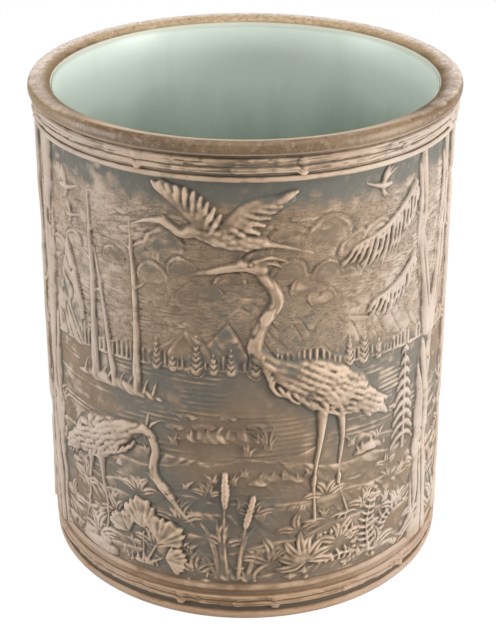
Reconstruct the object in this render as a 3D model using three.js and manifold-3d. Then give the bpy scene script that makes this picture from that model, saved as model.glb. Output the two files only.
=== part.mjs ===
// A relief stoneware crock, in millimetres, +Z up, standing on Z = 0 with its axis on the Z axis.
// The front of the crock faces -Y. Clay members are luted one on another, so each is its own solid.

import * as THREE from "three";
import { mergeVertices } from "three/addons/utils/BufferGeometryUtils.js";
import Module from "manifold-3d";

const wasm = await Module();
wasm.setup();

// Driving dimensions
const HEIGHT = 310;
const RIM_RADIUS = 130;
const GAP = 0.3;
const TURNED_SIDES = 40;
const BAND_STATIONS = 56;

// Wall and floor
const INNER_RADIUS = 116.2;
const GROUND_FOOT_RADIUS = 126.3;
const GROUND_TOP_RADIUS = 124.9;
const FLOOR_THICKNESS = 12;
const REST_RING_INNER = 107;
const RECESS_DEPTH = 1.2;
const RECESS_SLOPE = 2;
const FOOT_CHAMFER = 1.6;
const COLLAR_HEIGHT = 24;
const COLLAR_CAVETTO = 3.5;

// Rim roll, measured down from its crest
const RIM_DEPTH = 7.3;
const RIM_CREST_RADIUS = 125;
const RIM_WIDEST_DROP = 4.5;
const RIM_INNER_DROP = 4.4;
const RIM_UNDERCUT = 1.4;
const RIM_SHOULDER = { back: 0.8, drop: 2.3 };
const RIM_CREST_FALL = { outer: 0.6, inner: 0.9 };
const RIM_LIP = { back: 1, drop: 2.7 };

// Glaze lining and the coil in the inner corner
const GLAZE_THICKNESS = 0.7;
const GLAZE_EDGE_DROP = 4.7;
const GLAZE_COVE = 9;
const COIL_COVE = 7.6;
const COIL_REACH = 6;

// Mouldings, as heights above the rest face or drops below the crest
const FOOT_ROLL = { low: 0.3, high: 6, outer: 128.05 };
const LOWER_BAND = { low: 9.6, high: 17.3, outer: 128.7 };
const LOWER_BEAD = { low: 20.7, high: 25.9, outer: 127.9 };
const UPPER_BEAD = { low: HEIGHT - 23.2, high: HEIGHT - 19.8, outer: 127.9 };
const UPPER_BAND = { low: HEIGHT - 18.2, high: HEIGHT - 9.1, outer: 129.3 };

// Knots along the bands, as arc lengths from the front, with the mean spacing of the rest of the round
const ARC_RADIUS = 126;
const ROUND = 2 * Math.PI * ARC_RADIUS;
const UPPER_KNOTS = [-107, -60, -5, 31, 96];
const LOWER_KNOTS = [-107, -40, -5, 18, 64, 111];
const KNOT_SPACING = 52;
const KNOT_LENGTH = 5;
const KNOT_PROUD = 0.7;

// Relief sprigs: how far the crown of each kind stands above the ground surface
const TRUNK_LIFT = 3.5;
const BIRD_LIFT = 3.6;
const BOUGH_LIFT = 2.5;
const PLANT_LIFT = 2.7;
const FIR_LIFT = 2.2;
const HILL_LIFT = { crag: 1.5, far: 1.1 };
const CLOUD_LIFT = 1.1;
const HUMMOCK_LIFT = 1.6;

// Relief sprigs: their edges and backs, and the ends of the panel that they fill
const EDGE_LIFT = -0.6;
const FOOTING = 2.5;
const NOTCH_SHIFT = 0.6;
const PANEL_LOW = 26.4;
const PANEL_HIGH = HEIGHT - 23.6;
const MIDDLE = 150;

const clay = {
  slipWashed: new THREE.MeshStandardMaterial({ color: 0x77715f, roughness: 0.85, metalness: 0 }),
  buff: new THREE.MeshStandardMaterial({ color: 0xb09a7c, roughness: 0.8, metalness: 0 }),
  rim: new THREE.MeshStandardMaterial({ color: 0x94784f, roughness: 0.6, metalness: 0 }),
  bare: new THREE.MeshStandardMaterial({ color: 0xa38f74, roughness: 0.9, metalness: 0 }),
  glaze: new THREE.MeshStandardMaterial({ color: 0xa9bfb1, roughness: 0.2, metalness: 0 }),
};

const crock = new THREE.Group();

function addPiece(name, geometry, material) {
  const mesh = new THREE.Mesh(geometry, material);
  mesh.name = name;
  crock.add(mesh);
}

// A profile of [radius, height] points turned about the Z axis, with a corner at the front.
function turned(profile) {
  const points = profile.map(([radius, height]) => new THREE.Vector2(radius, height));
  return new THREE.LatheGeometry(points, TURNED_SIDES).rotateX(Math.PI / 2);
}

function closedProfile(points) {
  return [...points, points[0]];
}

// Points of an arc from one angle to another, in degrees from the outward radius.
function arc(centreRadius, centreHeight, radius, fromDegrees, toDegrees, steps) {
  return Array.from({ length: steps + 1 }, (_, i) => {
    const angle = THREE.MathUtils.degToRad(THREE.MathUtils.lerp(fromDegrees, toDegrees, i / steps));
    return [centreRadius + radius * Math.cos(angle), centreHeight + radius * Math.sin(angle)];
  });
}

// A ring with a rounded outer face, laid against a back of the given radius.
function beadProfile({ low, high, outer }, back, steps = 3) {
  const middle = (low + high) / 2;
  const half = (high - low) / 2;
  const shoulder = 0.35 * (outer - back);
  const face = Array.from({ length: steps + 1 }, (_, i) => {
    const angle = Math.PI * (i / steps - 0.5);
    const radius = back + shoulder + (outer - back - shoulder) * Math.cos(angle);
    return [radius, middle + half * Math.sin(angle)];
  });
  return closedProfile([[back, low], ...face, [back, high]]);
}

// Radius of the wall's ground surface at a height inside the relief panel.
function groundRadius(height) {
  const t = (height - FLOOR_THICKNESS) / (HEIGHT - COLLAR_HEIGHT - FLOOR_THICKNESS);
  return THREE.MathUtils.lerp(GROUND_FOOT_RADIUS, GROUND_TOP_RADIUS, t);
}

// A point on the wall: arc length from the front, height, and lift above the ground surface.
function onWall(along, height, lift) {
  const angle = along / ARC_RADIUS;
  const radius = groundRadius(height) + lift;
  return [radius * Math.sin(angle), -radius * Math.cos(angle), height];
}

// A closed slab on the wall. place(u, v) gives [along, height, lift] for u in 0..1 and v in -1..1. Its
// underside is a plain FOOTING below the ground surface.
function slab(place, stations, across) {
  const positions = [];
  const index = [];
  const columns = across + 1;
  for (const underside of [false, true]) {
    for (let i = 0; i <= stations; i++) {
      for (let j = 0; j <= across; j++) {
        const [along, height, lift] = place(i / stations, (2 * j) / across - 1);
        positions.push(...onWall(along, height, underside ? -FOOTING : lift));
      }
    }
  }
  const top = (i, j) => i * columns + j;
  const under = (i, j) => (stations + 1) * columns + top(i, j);
  const quad = (a, b, c, d) => index.push(a, b, c, a, c, d);
  for (let i = 0; i < stations; i++) {
    for (let j = 0; j < across; j++) {
      quad(top(i, j), top(i + 1, j), top(i + 1, j + 1), top(i, j + 1));
      quad(under(i, j), under(i, j + 1), under(i + 1, j + 1), under(i + 1, j));
    }
    quad(under(i, 0), under(i + 1, 0), top(i + 1, 0), top(i, 0));
    quad(top(i, across), top(i + 1, across), under(i + 1, across), under(i, across));
  }
  for (let j = 0; j < across; j++) {
    quad(under(0, j + 1), under(0, j), top(0, j), top(0, j + 1));
    quad(top(stations, j + 1), top(stations, j), under(stations, j), under(stations, j + 1));
  }
  const geometry = new THREE.BufferGeometry();
  geometry.setAttribute("position", new THREE.Float32BufferAttribute(positions, 3));
  geometry.setIndex(index);
  return geometry;
}

// The value at t along a list of evenly spaced values.
function valueAt(values, t) {
  const place = t * (values.length - 1);
  const i = Math.min(Math.floor(place), values.length - 2);
  return values.length === 1 ? values[0] : THREE.MathUtils.lerp(values[i], values[i + 1], place - i);
}

// A domed limb that follows a spine of [along, height] points, such as a trunk, a neck or a leaf.
// Its long edges lie just under the ground surface, as a sprig's do once they are pressed on.
function limb(spine, halfWidths, lifts, steps = 4, across = 2, progress = (u) => u) {
  const curve = new THREE.SplineCurve(spine.map(([s, z]) => new THREE.Vector2(s, z)));
  return slab((u, v) => {
    const point = curve.getPoint(progress(u));
    const run = curve.getTangent(progress(u));
    const reach = valueAt(halfWidths, u) * v;
    const crown = Math.sqrt(Math.max(0, 1 - v * v));
    const lift = EDGE_LIFT + (valueAt(lifts, u) - EDGE_LIFT) * crown;
    return [point.x - run.y * reach, point.y + run.x * reach, lift];
  }, steps, across);
}

// A limb whose edges are cut into teeth, such as a fern frond or a conifer. Each notch lies close to the
// next tooth, so the teeth point back along the spine.
function toothed(spine, halfWidth, lift, teeth, notch = 0.5, swell = (t) => 1 - t) {
  const halfWidths = Array.from({ length: 2 * teeth + 1 }, (_, k) => {
    const t = k / (2 * teeth);
    return Math.max(0.6, halfWidth * swell(t) * (k % 2 === 0 ? 1 : notch));
  });
  const progress = (u) => {
    const station = Math.round(2 * teeth * u);
    return (station + (station % 2) * NOTCH_SHIFT) / (2 * teeth);
  };
  return limb(spine, halfWidths, [lift], 2 * teeth, 2, progress);
}

// A drooping bough: a smooth upper edge along the spine, and hanging tassels below it.
function bough(spine, drops, lift, tassels) {
  const curve = new THREE.SplineCurve(spine.map(([s, z]) => new THREE.Vector2(s, z)));
  const steps = 2 * tassels;
  const side = Math.sign(spine.at(-1)[0] - spine[0][0]);
  return slab((u, v) => {
    const point = curve.getPoint(u);
    const hanging = Math.round(u * steps) % 2 === 1 ? 1 : 0.55;
    const drop = valueAt(drops, u) * hanging * (1 - side * v) / 2;
    return [point.x, point.y - drop, v === 0 ? lift : EDGE_LIFT];
  }, steps, 2);
}

// A low hill between two arc lengths, from its base line up to a ridge given by heights.
function hill(left, right, base, ridge, lift) {
  return slab((u, v) => {
    const top = valueAt(ridge, u);
    const height = THREE.MathUtils.lerp(base, top, (v + 1) / 2);
    return [THREE.MathUtils.lerp(left, right, u), height, v > 0 ? EDGE_LIFT : lift];
  }, 2 * (ridge.length - 1), 2);
}

function solidOf(geometry) {
  const bare = geometry.clone();
  bare.deleteAttribute("normal");
  bare.deleteAttribute("uv");
  const merged = mergeVertices(bare, 1e-4);
  const corners = merged.index.array;
  const kept = [];
  for (let i = 0; i < corners.length; i += 3) {
    const [a, b, c] = [corners[i], corners[i + 1], corners[i + 2]];
    if (a !== b && b !== c && c !== a) {
      kept.push(a, b, c);
    }
  }
  return new wasm.Manifold(new wasm.Mesh({
    numProp: 3,
    vertProperties: new Float32Array(merged.attributes.position.array),
    triVerts: new Uint32Array(kept),
  }));
}

function geometryOf(solid) {
  const mesh = solid.getMesh();
  const geometry = new THREE.BufferGeometry();
  geometry.setAttribute("position", new THREE.BufferAttribute(mesh.vertProperties, 3));
  geometry.setIndex(new THREE.BufferAttribute(mesh.triVerts, 1));
  geometry.computeVertexNormals();
  return geometry;
}

// The wall as a full cone, grown by the gap: what is cut from the back of every sprig.
const wallCore = solidOf(turned([
  [0, FLOOR_THICKNESS],
  [groundRadius(FLOOR_THICKNESS) + GAP, FLOOR_THICKNESS],
  [groundRadius(HEIGHT) + GAP, HEIGHT],
  [0, HEIGHT],
]));

// A sprig: its parts joined into one body, with a back that follows the wall.
function addSprig(name, ...parts) {
  const joined = parts.map(solidOf).reduce((whole, part) => whole.add(part));
  addPiece(name, geometryOf(joined.subtract(wallCore)), clay.buff);
}

// Base slab, with a shallow recess so that it rests on a ring
addPiece("base_slab", turned([
  [0, RECESS_DEPTH],
  [REST_RING_INNER - RECESS_SLOPE, RECESS_DEPTH],
  [REST_RING_INNER, 0],
  [GROUND_FOOT_RADIUS - FOOT_CHAMFER, 0],
  [GROUND_FOOT_RADIUS, FOOT_CHAMFER],
  [GROUND_FOOT_RADIUS, FLOOR_THICKNESS],
  [0, FLOOR_THICKNESS],
]), clay.bare);

// Wall, with a thicker collar that carries the upper mouldings
const wallTop = HEIGHT - RIM_DEPTH - GAP;
const wallLow = FLOOR_THICKNESS + GAP;
addPiece("wall", turned(closedProfile([
  [INNER_RADIUS, wallLow],
  [groundRadius(wallLow), wallLow],
  [groundRadius(HEIGHT - COLLAR_HEIGHT), HEIGHT - COLLAR_HEIGHT],
  [GROUND_FOOT_RADIUS, HEIGHT - COLLAR_HEIGHT + COLLAR_CAVETTO],
  [GROUND_FOOT_RADIUS, wallTop],
  [INNER_RADIUS, wallTop],
])), clay.slipWashed);

// Coil worked into the inner corner
const coilRadius = INNER_RADIUS - GAP;
const coilLow = FLOOR_THICKNESS + GAP;
const coilEnd = THREE.MathUtils.radToDeg(Math.asin((COIL_COVE - COIL_REACH) / COIL_COVE));
addPiece("corner_coil", turned(closedProfile([
  [coilRadius, coilLow],
  [coilRadius, coilLow + COIL_REACH],
  ...arc(coilRadius - COIL_COVE, coilLow + COIL_COVE, COIL_COVE, -coilEnd, coilEnd - 90, 2),
  [coilRadius - COIL_REACH, coilLow],
])), clay.bare);

// Glaze lining, a thin cup with a coved corner
const glazeOuter = INNER_RADIUS - GAP;
const glazeInner = glazeOuter - GLAZE_THICKNESS;
const glazeLow = FLOOR_THICKNESS + GAP;
const glazeTop = HEIGHT - GLAZE_EDGE_DROP;
const coveCentre = [glazeOuter - GLAZE_COVE, glazeLow + GLAZE_COVE];
addPiece("glaze_lining", turned([
  [0, glazeLow],
  ...arc(...coveCentre, GLAZE_COVE, -90, 0, 2),
  [glazeOuter, glazeTop - GLAZE_THICKNESS / 2],
  [glazeInner + GLAZE_THICKNESS / 2, glazeTop],
  [glazeInner, glazeTop - GLAZE_THICKNESS / 2],
  ...arc(...coveCentre, GLAZE_COVE - GLAZE_THICKNESS, 0, -90, 2),
  [0, glazeLow + GLAZE_THICKNESS],
]), clay.glaze);

// Plain rolls
addPiece("foot_roll", turned(beadProfile(FOOT_ROLL, GROUND_FOOT_RADIUS + GAP)), clay.buff);
addPiece("lower_bead", turned(beadProfile(LOWER_BEAD, GROUND_FOOT_RADIUS + GAP)), clay.buff);
addPiece("upper_bead", turned(beadProfile(UPPER_BEAD, GROUND_FOOT_RADIUS + GAP)), clay.buff);

// Rim roll: a thick rounded roll that leans inward to the glaze edge
const rimLow = HEIGHT - RIM_DEPTH;
addPiece("rim_roll", turned(closedProfile([
  [INNER_RADIUS, rimLow],
  [RIM_RADIUS - RIM_UNDERCUT, rimLow],
  [RIM_RADIUS, HEIGHT - RIM_WIDEST_DROP],
  [RIM_RADIUS - RIM_SHOULDER.back, HEIGHT - RIM_SHOULDER.drop],
  [(RIM_RADIUS + RIM_CREST_RADIUS) / 2, HEIGHT - RIM_CREST_FALL.outer],
  [RIM_CREST_RADIUS, HEIGHT],
  [(RIM_CREST_RADIUS + INNER_RADIUS) / 2, HEIGHT - RIM_CREST_FALL.inner],
  [INNER_RADIUS + RIM_LIP.back, HEIGHT - RIM_LIP.drop],
  [INNER_RADIUS, HEIGHT - RIM_INNER_DROP],
])), clay.rim);

// The knots of a band, carried on round the back at the mean spacing.
function knotsRound(front) {
  const knots = [...front];
  const last = front[front.length - 1];
  const gapRound = ROUND - last + front[0];
  const count = Math.round(gapRound / KNOT_SPACING);
  for (let i = 1; i < count; i++) {
    knots.push(last + (gapRound * i) / count);
  }
  return knots;
}

// A band of two split branches laid side by side, with a swelling at each knot.
function branchBand({ low, high, outer }, knots, split) {
  const back = GROUND_FOOT_RADIUS + GAP;
  const section = [
    [0, 0], [0.6, 0.03], [1, 0.5 * split], [0.6, split], [1, 0.5 + 0.5 * split], [0.6, 0.97], [0, 1],
  ];
  const positions = [];
  const index = [];
  for (let i = 0; i < BAND_STATIONS; i++) {
    const around = (ROUND * i) / BAND_STATIONS;
    const swelling = knots.reduce((sum, knot) => {
      const away = Math.abs(((around - knot + 1.5 * ROUND) % ROUND) - ROUND / 2);
      return sum + Math.exp(-((away / KNOT_LENGTH) ** 2));
    }, 0);
    const angle = around / ARC_RADIUS;
    for (const [out, up] of section) {
      const radius = back + out * (outer - KNOT_PROUD - back + KNOT_PROUD * Math.min(1, swelling));
      const height = THREE.MathUtils.lerp(low, high, up);
      positions.push(radius * Math.sin(angle), -radius * Math.cos(angle), height);
    }
  }
  const points = section.length;
  for (let i = 0; i < BAND_STATIONS; i++) {
    for (let j = 0; j < points; j++) {
      const [a, b] = [i * points + j, i * points + ((j + 1) % points)];
      const next = (i + 1) % BAND_STATIONS;
      const [c, d] = [next * points + ((j + 1) % points), next * points + j];
      index.push(a, c, b, a, d, c);
    }
  }
  const geometry = new THREE.BufferGeometry();
  geometry.setAttribute("position", new THREE.Float32BufferAttribute(positions, 3));
  geometry.setIndex(index);
  geometry.computeVertexNormals();
  return geometry;
}
addPiece("lower_branch_band", branchBand(LOWER_BAND, knotsRound(LOWER_KNOTS), 0.45), clay.buff);
addPiece("upper_branch_band", branchBand(UPPER_BAND, knotsRound(UPPER_KNOTS), 0.42), clay.buff);

// Every value of a list times a size.
function scaled(values, size) {
  return values.map((value) => value * size);
}

// A mover for [along, height] points: from a sprig's own origin to its place on the wall. side is 1 when
// the sprig faces right and -1 when it faces left.
function placed([s0, z0], side = 1, size = 1) {
  return (points) => points.map(([s, z]) => [s0 + side * size * s, z0 + size * z]);
}

// Trunks that frame the scene, each with its roots and a broken stub
const TRUNK_TAPER = [1.7, 1.15, 1, 0.9, 0.85];
const ROOT = { widths: [4, 2.2], lifts: [0.86 * TRUNK_LIFT, 0.4 * TRUNK_LIFT], top: 41, toe: 2.3 };
const STUB = { widths: [2.6, 1.4], lifts: [0.7 * TRUNK_LIFT, 0.5 * TRUNK_LIFT], rise: 13 };
function root(s, reach) {
  return limb([[s, ROOT.top], [s + reach, PANEL_LOW + ROOT.toe]], ROOT.widths, ROOT.lifts, 1);
}
function addTrunk(name, foot, head, halfWidth, stub) {
  const middle = (foot + head) / 2;
  addSprig(
    name,
    limb(
      [[foot, PANEL_LOW], [middle, MIDDLE], [head, PANEL_HIGH]],
      scaled(TRUNK_TAPER, halfWidth),
      [TRUNK_LIFT, 0.86 * TRUNK_LIFT],
      5,
    ),
    limb([[middle, stub.height], [middle + stub.reach, stub.height + STUB.rise]], STUB.widths, STUB.lifts, 1),
    root(foot, -1.9 * halfWidth),
    root(foot, 2 * halfWidth),
  );
}
addTrunk("old_trunk_left", -150, -146, 9, { reach: 20, height: 208 });
addTrunk("birch_trunk_back_right", 208, 214, 6.5, { reach: 18, height: 184 });
addTrunk("old_trunk_back_left", -262, -256, 8.5, { reach: -20, height: 216 });

// Slim trunks that stand behind them
function addSlimTrunk(name, foot, head, halfWidth) {
  const bend = 1.5;
  addSprig(name, limb(
    [[foot, PANEL_LOW], [(foot + head) / 2 + bend, MIDDLE], [head, PANEL_HIGH]],
    scaled([1.6, 1.1, 1, 0.9], halfWidth),
    [0.86 * TRUNK_LIFT, 0.72 * TRUNK_LIFT],
    4,
  ));
}
addSlimTrunk("slim_trunk_left", -177, -174, 4.4);
addSlimTrunk("slim_trunk_right", 163, 166, 4.2);

// The forked trunk on the right
const FORK = { s: 131, height: 172, bole: [16, 11, 10, 9], limbs: [6.5, 5.4, 5], root: 22 };
const FORK_SPREADS = [-13, 19];
addSprig(
  "forked_trunk_right",
  limb(
    [[FORK.s, PANEL_LOW], [FORK.s - 2, 110], [FORK.s + 1, FORK.height + 10]],
    FORK.bole,
    [TRUNK_LIFT, 0.89 * TRUNK_LIFT],
    4,
  ),
  ...FORK_SPREADS.map((spread) => limb(
    [[FORK.s + Math.sign(spread), FORK.height], [FORK.s + 0.85 * spread, 230], [FORK.s + spread, PANEL_HIGH]],
    FORK.limbs,
    [0.86 * TRUNK_LIFT, 0.8 * TRUNK_LIFT],
    4,
  )),
  root(FORK.s, -FORK.root),
  root(FORK.s, FORK.root),
);

// Drooping boughs
function addBough(name, spine, drops, tassels) {
  addSprig(
    name,
    bough(spine, drops, 0.92 * BOUGH_LIFT, tassels),
    limb(spine, [1.7, 1.2], [BOUGH_LIFT, 0.64 * BOUGH_LIFT], 2),
  );
}
addBough("bough_right_high", [[110, 270], [88, 262], [62, 243]], [26, 30, 12], 5);
addBough("bough_right_low", [[111, 226], [94, 220], [76, 206]], [20, 22, 9], 4);
addBough("bough_back_left", [[-244, 250], [-222, 241], [-198, 222]], [24, 28, 10], 5);
addBough("bough_back_right", [[225, 262], [248, 254], [274, 236]], [24, 28, 10], 5);

// Bare trunks standing on a far bank, with broken twigs
const SNAG_LIFTS = [0.67 * TRUNK_LIFT, 0.6 * TRUNK_LIFT, 0.43 * TRUNK_LIFT];
const TWIG = { widths: [1.2, 0.7], lifts: [0.46 * TRUNK_LIFT, 0.28 * TRUNK_LIFT] };
addSprig(
  "bare_trunks",
  limb([[-98, 153], [-97, 210], [-99, 267]], [3.6, 2.7, 1.1], SNAG_LIFTS, 3),
  limb([[-82, 153], [-88, 196], [-95, 236]], [2.6, 2.1, 0.9], SNAG_LIFTS, 3),
  limb([[-66, 153], [-65, 205], [-68, 258]], [3, 2.3, 1], SNAG_LIFTS, 3),
  limb([[-98, 226], [-110, 233]], TWIG.widths, TWIG.lifts, 1),
  limb([[-66, 218], [-56, 224]], TWIG.widths, TWIG.lifts, 1),
  limb([[-112, 150], [-84, 152], [-50, 149]], [3.4, 4.6, 2.4], scaled([1, 1.25, 1], HUMMOCK_LIFT), 4),
);

// The crag and the far hills
addSprig("crag_left", hill(-137, -105, 166, [186, 206, 236, 216, 194], HILL_LIFT.crag));
addSprig("far_hills", hill(-46, 2, 176, [182, 197, 190, 204, 184], HILL_LIFT.far));
addSprig("far_hills_back", hill(296, 344, 150, [156, 178, 168, 188, 158], HILL_LIFT.far));

// Wading birds: half widths of each limb in millimetres at full size, and lifts as shares of the bird's
const WADER = {
  body: {
    spine: [[-38, -20], [-16, -6], [8, 6], [26, 16]],
    widths: [3, 14, 18.5, 15, 6],
    lifts: [0.45, 0.9, 1, 0.95, 0.67],
  },
  tail: { spine: [[-30, -14], [-46, -28]], widths: [7, 1.2], lifts: [0.67, 0.33] },
  neck: { widths: [8, 5.2, 4.2, 3.8, 4.2], lifts: [0.88, 0.85, 0.8, 0.78, 0.8] },
  bill: { widths: [4.6, 3.4, 1.6, 0.7], lifts: [0.83, 0.67, 0.5, 0.33] },
  crest: { widths: [1.8, 0.8], lifts: [0.56, 0.33] },
  nearLeg: {
    spine: [[-2, -10], [-1, -32]],
    widths: [5, 2.6, 1.6, 1.5, 1.4],
    lifts: [0.83, 0.67, 0.58, 0.53],
  },
  farLeg: {
    spine: [[-12, -12], [-15, -34]],
    widths: [4.4, 2.2, 1.4, 1.3, 1.2],
    lifts: [0.72, 0.56, 0.47, 0.42],
  },
};
const UPRIGHT = {
  neck: [[24, 14], [38, 26], [34, 44], [26, 58], [34, 74], [41, 80]],
  bill: [[38, 80], [54, 77], [84, 70]],
  crest: [[40, 83], [22, 82]],
  nearFoot: [[3, -62], [2, -90]],
  farFoot: [[-13, -64], [-20, -90]],
};
const STOOPING = {
  neck: [[22, 14], [38, 18], [46, 4], [44, -14], [54, -28]],
  bill: [[51, -25], [61, -37], [76, -56]],
  crest: [[50, -22], [40, -8]],
  nearFoot: [[3, -58], [0, -82]],
  farFoot: [[-18, -60], [-24, -82]],
};
function wader(centre, side, size, pose) {
  const route = placed(centre, side, size);
  const bone = (form, spine, steps, across) => (
    limb(route(spine), scaled(form.widths, size), scaled(form.lifts, BIRD_LIFT), steps, across)
  );
  return [
    bone(WADER.body, WADER.body.spine, 5, 4),
    bone(WADER.neck, pose.neck, 6),
    bone(WADER.bill, pose.bill, 3),
    bone(WADER.crest, pose.crest, 1),
    bone(WADER.nearLeg, [...WADER.nearLeg.spine, ...pose.nearFoot], 3),
    bone(WADER.farLeg, [...WADER.farLeg.spine, ...pose.farFoot], 3),
    bone(WADER.tail, WADER.tail.spine, 1),
  ];
}
addSprig("heron_standing", ...wader([44, 158], -1, 1, UPRIGHT));
addSprig("heron_stooping", ...wader([-94, 110], 1, 0.86, STOOPING));
addSprig("heron_back", ...wader([-322, 148], -1, 0.9, UPRIGHT));

// A limb of a flying bird: its spine, half widths, lifts as shares of the bird's, and steps
function feathered(route, size, { spine, widths, lifts, steps }) {
  return limb(route(spine), scaled(widths, size), scaled(lifts, BIRD_LIFT), steps);
}

// A heron in flight with raised wings, its neck folded and its legs trailing
const FLYING = {
  body: {
    spine: [[24, -3], [8, -1], [-10, 3], [-22, 6]],
    widths: [3, 7, 7.5, 4.5],
    lifts: [0.56, 0.9, 0.95, 0.78],
    steps: 4,
  },
  neck: {
    spine: [[-18, 5], [-25, 1], [-30, 6], [-35, 8]],
    widths: [5, 3.6, 3, 3.4],
    lifts: [0.83, 0.8, 0.83],
    steps: 3,
  },
  bill: { spine: [[-34, 8], [-44, 6], [-54, 2]], widths: [3, 1.8, 0.8], lifts: [0.78, 0.6, 0.33], steps: 2 },
  legs: { spine: [[22, -3], [36, -6], [50, -11]], widths: [3, 1.7, 1.1], lifts: [0.56, 0.5, 0.36], steps: 2 },
  farWing: { spine: [[-12, 6], [-20, 16], [-38, 26]], widths: [8, 8, 2.4], lifts: [1, 0.8, 0.4], steps: 3 },
  nearWing: { spine: [[2, 4], [14, 16], [38, 26]], widths: [9, 9, 2.6], lifts: [0.9, 0.8, 0.4], steps: 3 },
};
const flyingPlace = placed([-12, 254]);
addSprig("heron_flying", ...Object.values(FLYING).map((form) => feathered(flyingPlace, 1, form)));

// Wild geese in flight, seen from the side
const GOOSE = {
  body: {
    spine: [[-9, 0], [0, 0], [9, 2], [17, 5]],
    widths: [1, 2.6, 2.2, 1.1, 0.7],
    lifts: [0.44, 0.6, 0.5, 0.33],
    steps: 3,
  },
  farWing: { spine: [[1, 1], [-3, 8], [-11, 14]], widths: [3, 2.2, 0.7], lifts: [0.6, 0.4, 0.3], steps: 2 },
  nearWing: { spine: [[2, 0], [1, -7], [-5, -12]], widths: [2.4, 1.7, 0.6], lifts: [0.4, 0.4, 0.3], steps: 2 },
};
function addGoose(name, centre, side, size) {
  const route = placed(centre, side, size);
  addSprig(name, ...Object.values(GOOSE).map((form) => feathered(route, size, form)));
}
addGoose("wildfowl_first", [-120, 264], 1, 0.75);
addGoose("wildfowl_second", [-116, 248], 1, 0.55);
addGoose("wildfowl_third", [82, 275], -1, 0.7);
addGoose("wildfowl_back", [350, 244], -1, 1.6);

// Reeds: seed heads on tall stems among long blades, out of one tussock
const REED_STEM = { widths: [1.2, 0.9, 0.8], lifts: [0.74, 0.67, 0.6] };
const REED_HEAD = { widths: [2.2, 2.7, 2.1], lifts: [0.96, 1.1, 0.9] };
const REED_BLADE = { widths: [1.8, 2.2, 0.7], lifts: [0.8, 0.74, 0.44] };
const TUSSOCK = { widths: [2, 3.6, 2], lifts: [0.67, 0.96, 0.6] };
function addReeds(name, foot, size) {
  const route = placed(foot, 1, size);
  const stalk = (points, { widths, lifts }) => limb(route(points), widths, scaled(lifts, PLANT_LIFT), 2);
  addSprig(
    name,
    stalk([[-14, 0], [0, 1.5], [14, 0]], TUSSOCK),
    stalk([[-3, 0], [-5, 34], [-4, 70]], REED_STEM),
    stalk([[-4.2, 56], [-4, 77]], REED_HEAD),
    stalk([[4, 0], [6, 26], [11, 52]], REED_STEM),
    stalk([[8.6, 42], [13, 60]], REED_HEAD),
    stalk([[-8, 0], [-13, 28], [-24, 46]], REED_BLADE),
    stalk([[9, 0], [15, 18], [26, 27]], REED_BLADE),
  );
}
addReeds("reeds_middle", [-8, 30], 0.95);
addReeds("reeds_back", [306, 30], 1.1);

// Ferns: toothed fronds arching out of one root
const FROND_WIDTH = 7.5;
const FROND_NOTCH = 0.45;
function fern(foot, side, size) {
  const route = placed(foot, side, size);
  const swell = (t) => Math.sin(Math.PI * Math.min(1, 0.25 + 0.75 * t)) ** 0.6;
  const frond = (points, teeth) => (
    toothed(route(points), FROND_WIDTH * size, PLANT_LIFT, teeth, FROND_NOTCH, swell)
  );
  return [
    limb(route([[-8, 0], [8, 0]]), [3, 3.4], [PLANT_LIFT], 1),
    frond([[-2, 0], [-12, 22], [-34, 30]], 4),
    frond([[0, 0], [2, 26], [-6, 52]], 5),
    frond([[2, 0], [16, 22], [34, 26]], 4),
    frond([[4, 0], [20, 6], [38, 2]], 3),
  ];
}
addSprig("fern_back_left", ...fern([-217, 34], 1, 0.86));
addSprig("fern_back_right", ...fern([250, 34], 1, 0.9));

// Fan-leaved plants: broad leaves on bent stalks
const FAN_LEAF = { widths: [0.9, 0.9, 4.6, 7.4], lifts: [0.67, 0.8, 1.04, 0.44] };
function addFanPlant(name, foot, side, size) {
  const route = placed(foot, side, size);
  const leaf = (points) => (
    limb(route(points), scaled(FAN_LEAF.widths, size), scaled(FAN_LEAF.lifts, PLANT_LIFT), 3)
  );
  addSprig(
    name,
    limb(route([[-7, 0], [7, 0]]), [2.6, 3], [0.8 * PLANT_LIFT], 1),
    leaf([[-2, 0], [-9, 18], [-19, 30]]),
    leaf([[0, 0], [1, 24], [-2, 44]]),
    leaf([[2, 0], [10, 16], [19, 33]]),
    leaf([[3, 0], [14, 7], [28, 9]]),
  );
}
addFanPlant("fan_plant_left", [-65, 31], 1, 0.92);
addFanPlant("fan_plant_back", [-376, 32], -1, 0.95);

// Rosettes of long pointed leaves, by turns shorter and longer
const ROSETTE_ANGLES = [-12, 18, 50, 82, 112, 145, 192];
const ROSETTE_REACHES = [22, 26];
const ROSETTE_LEAF = { width: 3.8, root: 1.4, tip: 0.7, lifts: [0.8, 1.04, 0.52] };
function rosette([s0, z0], size) {
  return ROSETTE_ANGLES.map((degrees, i) => {
    const angle = THREE.MathUtils.degToRad(degrees);
    const reach = size * ROSETTE_REACHES[i % 2];
    const tip = [s0 + reach * Math.cos(angle), z0 + reach * Math.sin(angle)];
    const widths = [ROSETTE_LEAF.root, size * ROSETTE_LEAF.width, ROSETTE_LEAF.tip];
    return limb([[s0, z0], tip], widths, scaled(ROSETTE_LEAF.lifts, PLANT_LIFT), 2);
  });
}
addSprig("rosette_back", ...rosette([362, 40], 0.95));
addSprig("undergrowth_right", ...fern([80, 34], -1, 0.9), ...rosette([37, 40], 0.88));

// Boulders at the water's edge
const BOULDER_LIFTS = [1.4, 3, 2.8, 1.4];
function addBoulder(name, [s, z], halfLength, halfHeight) {
  const spine = [[s - halfLength, z], [s + halfLength, z]];
  addSprig(name, limb(spine, [2, halfHeight, 0.8 * halfHeight, 2], BOULDER_LIFTS, 4));
}
addBoulder("boulder_left", [-103, 31], 17, 4.4);
addBoulder("boulder_back", [-302, 34], 20, 7.5);

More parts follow.
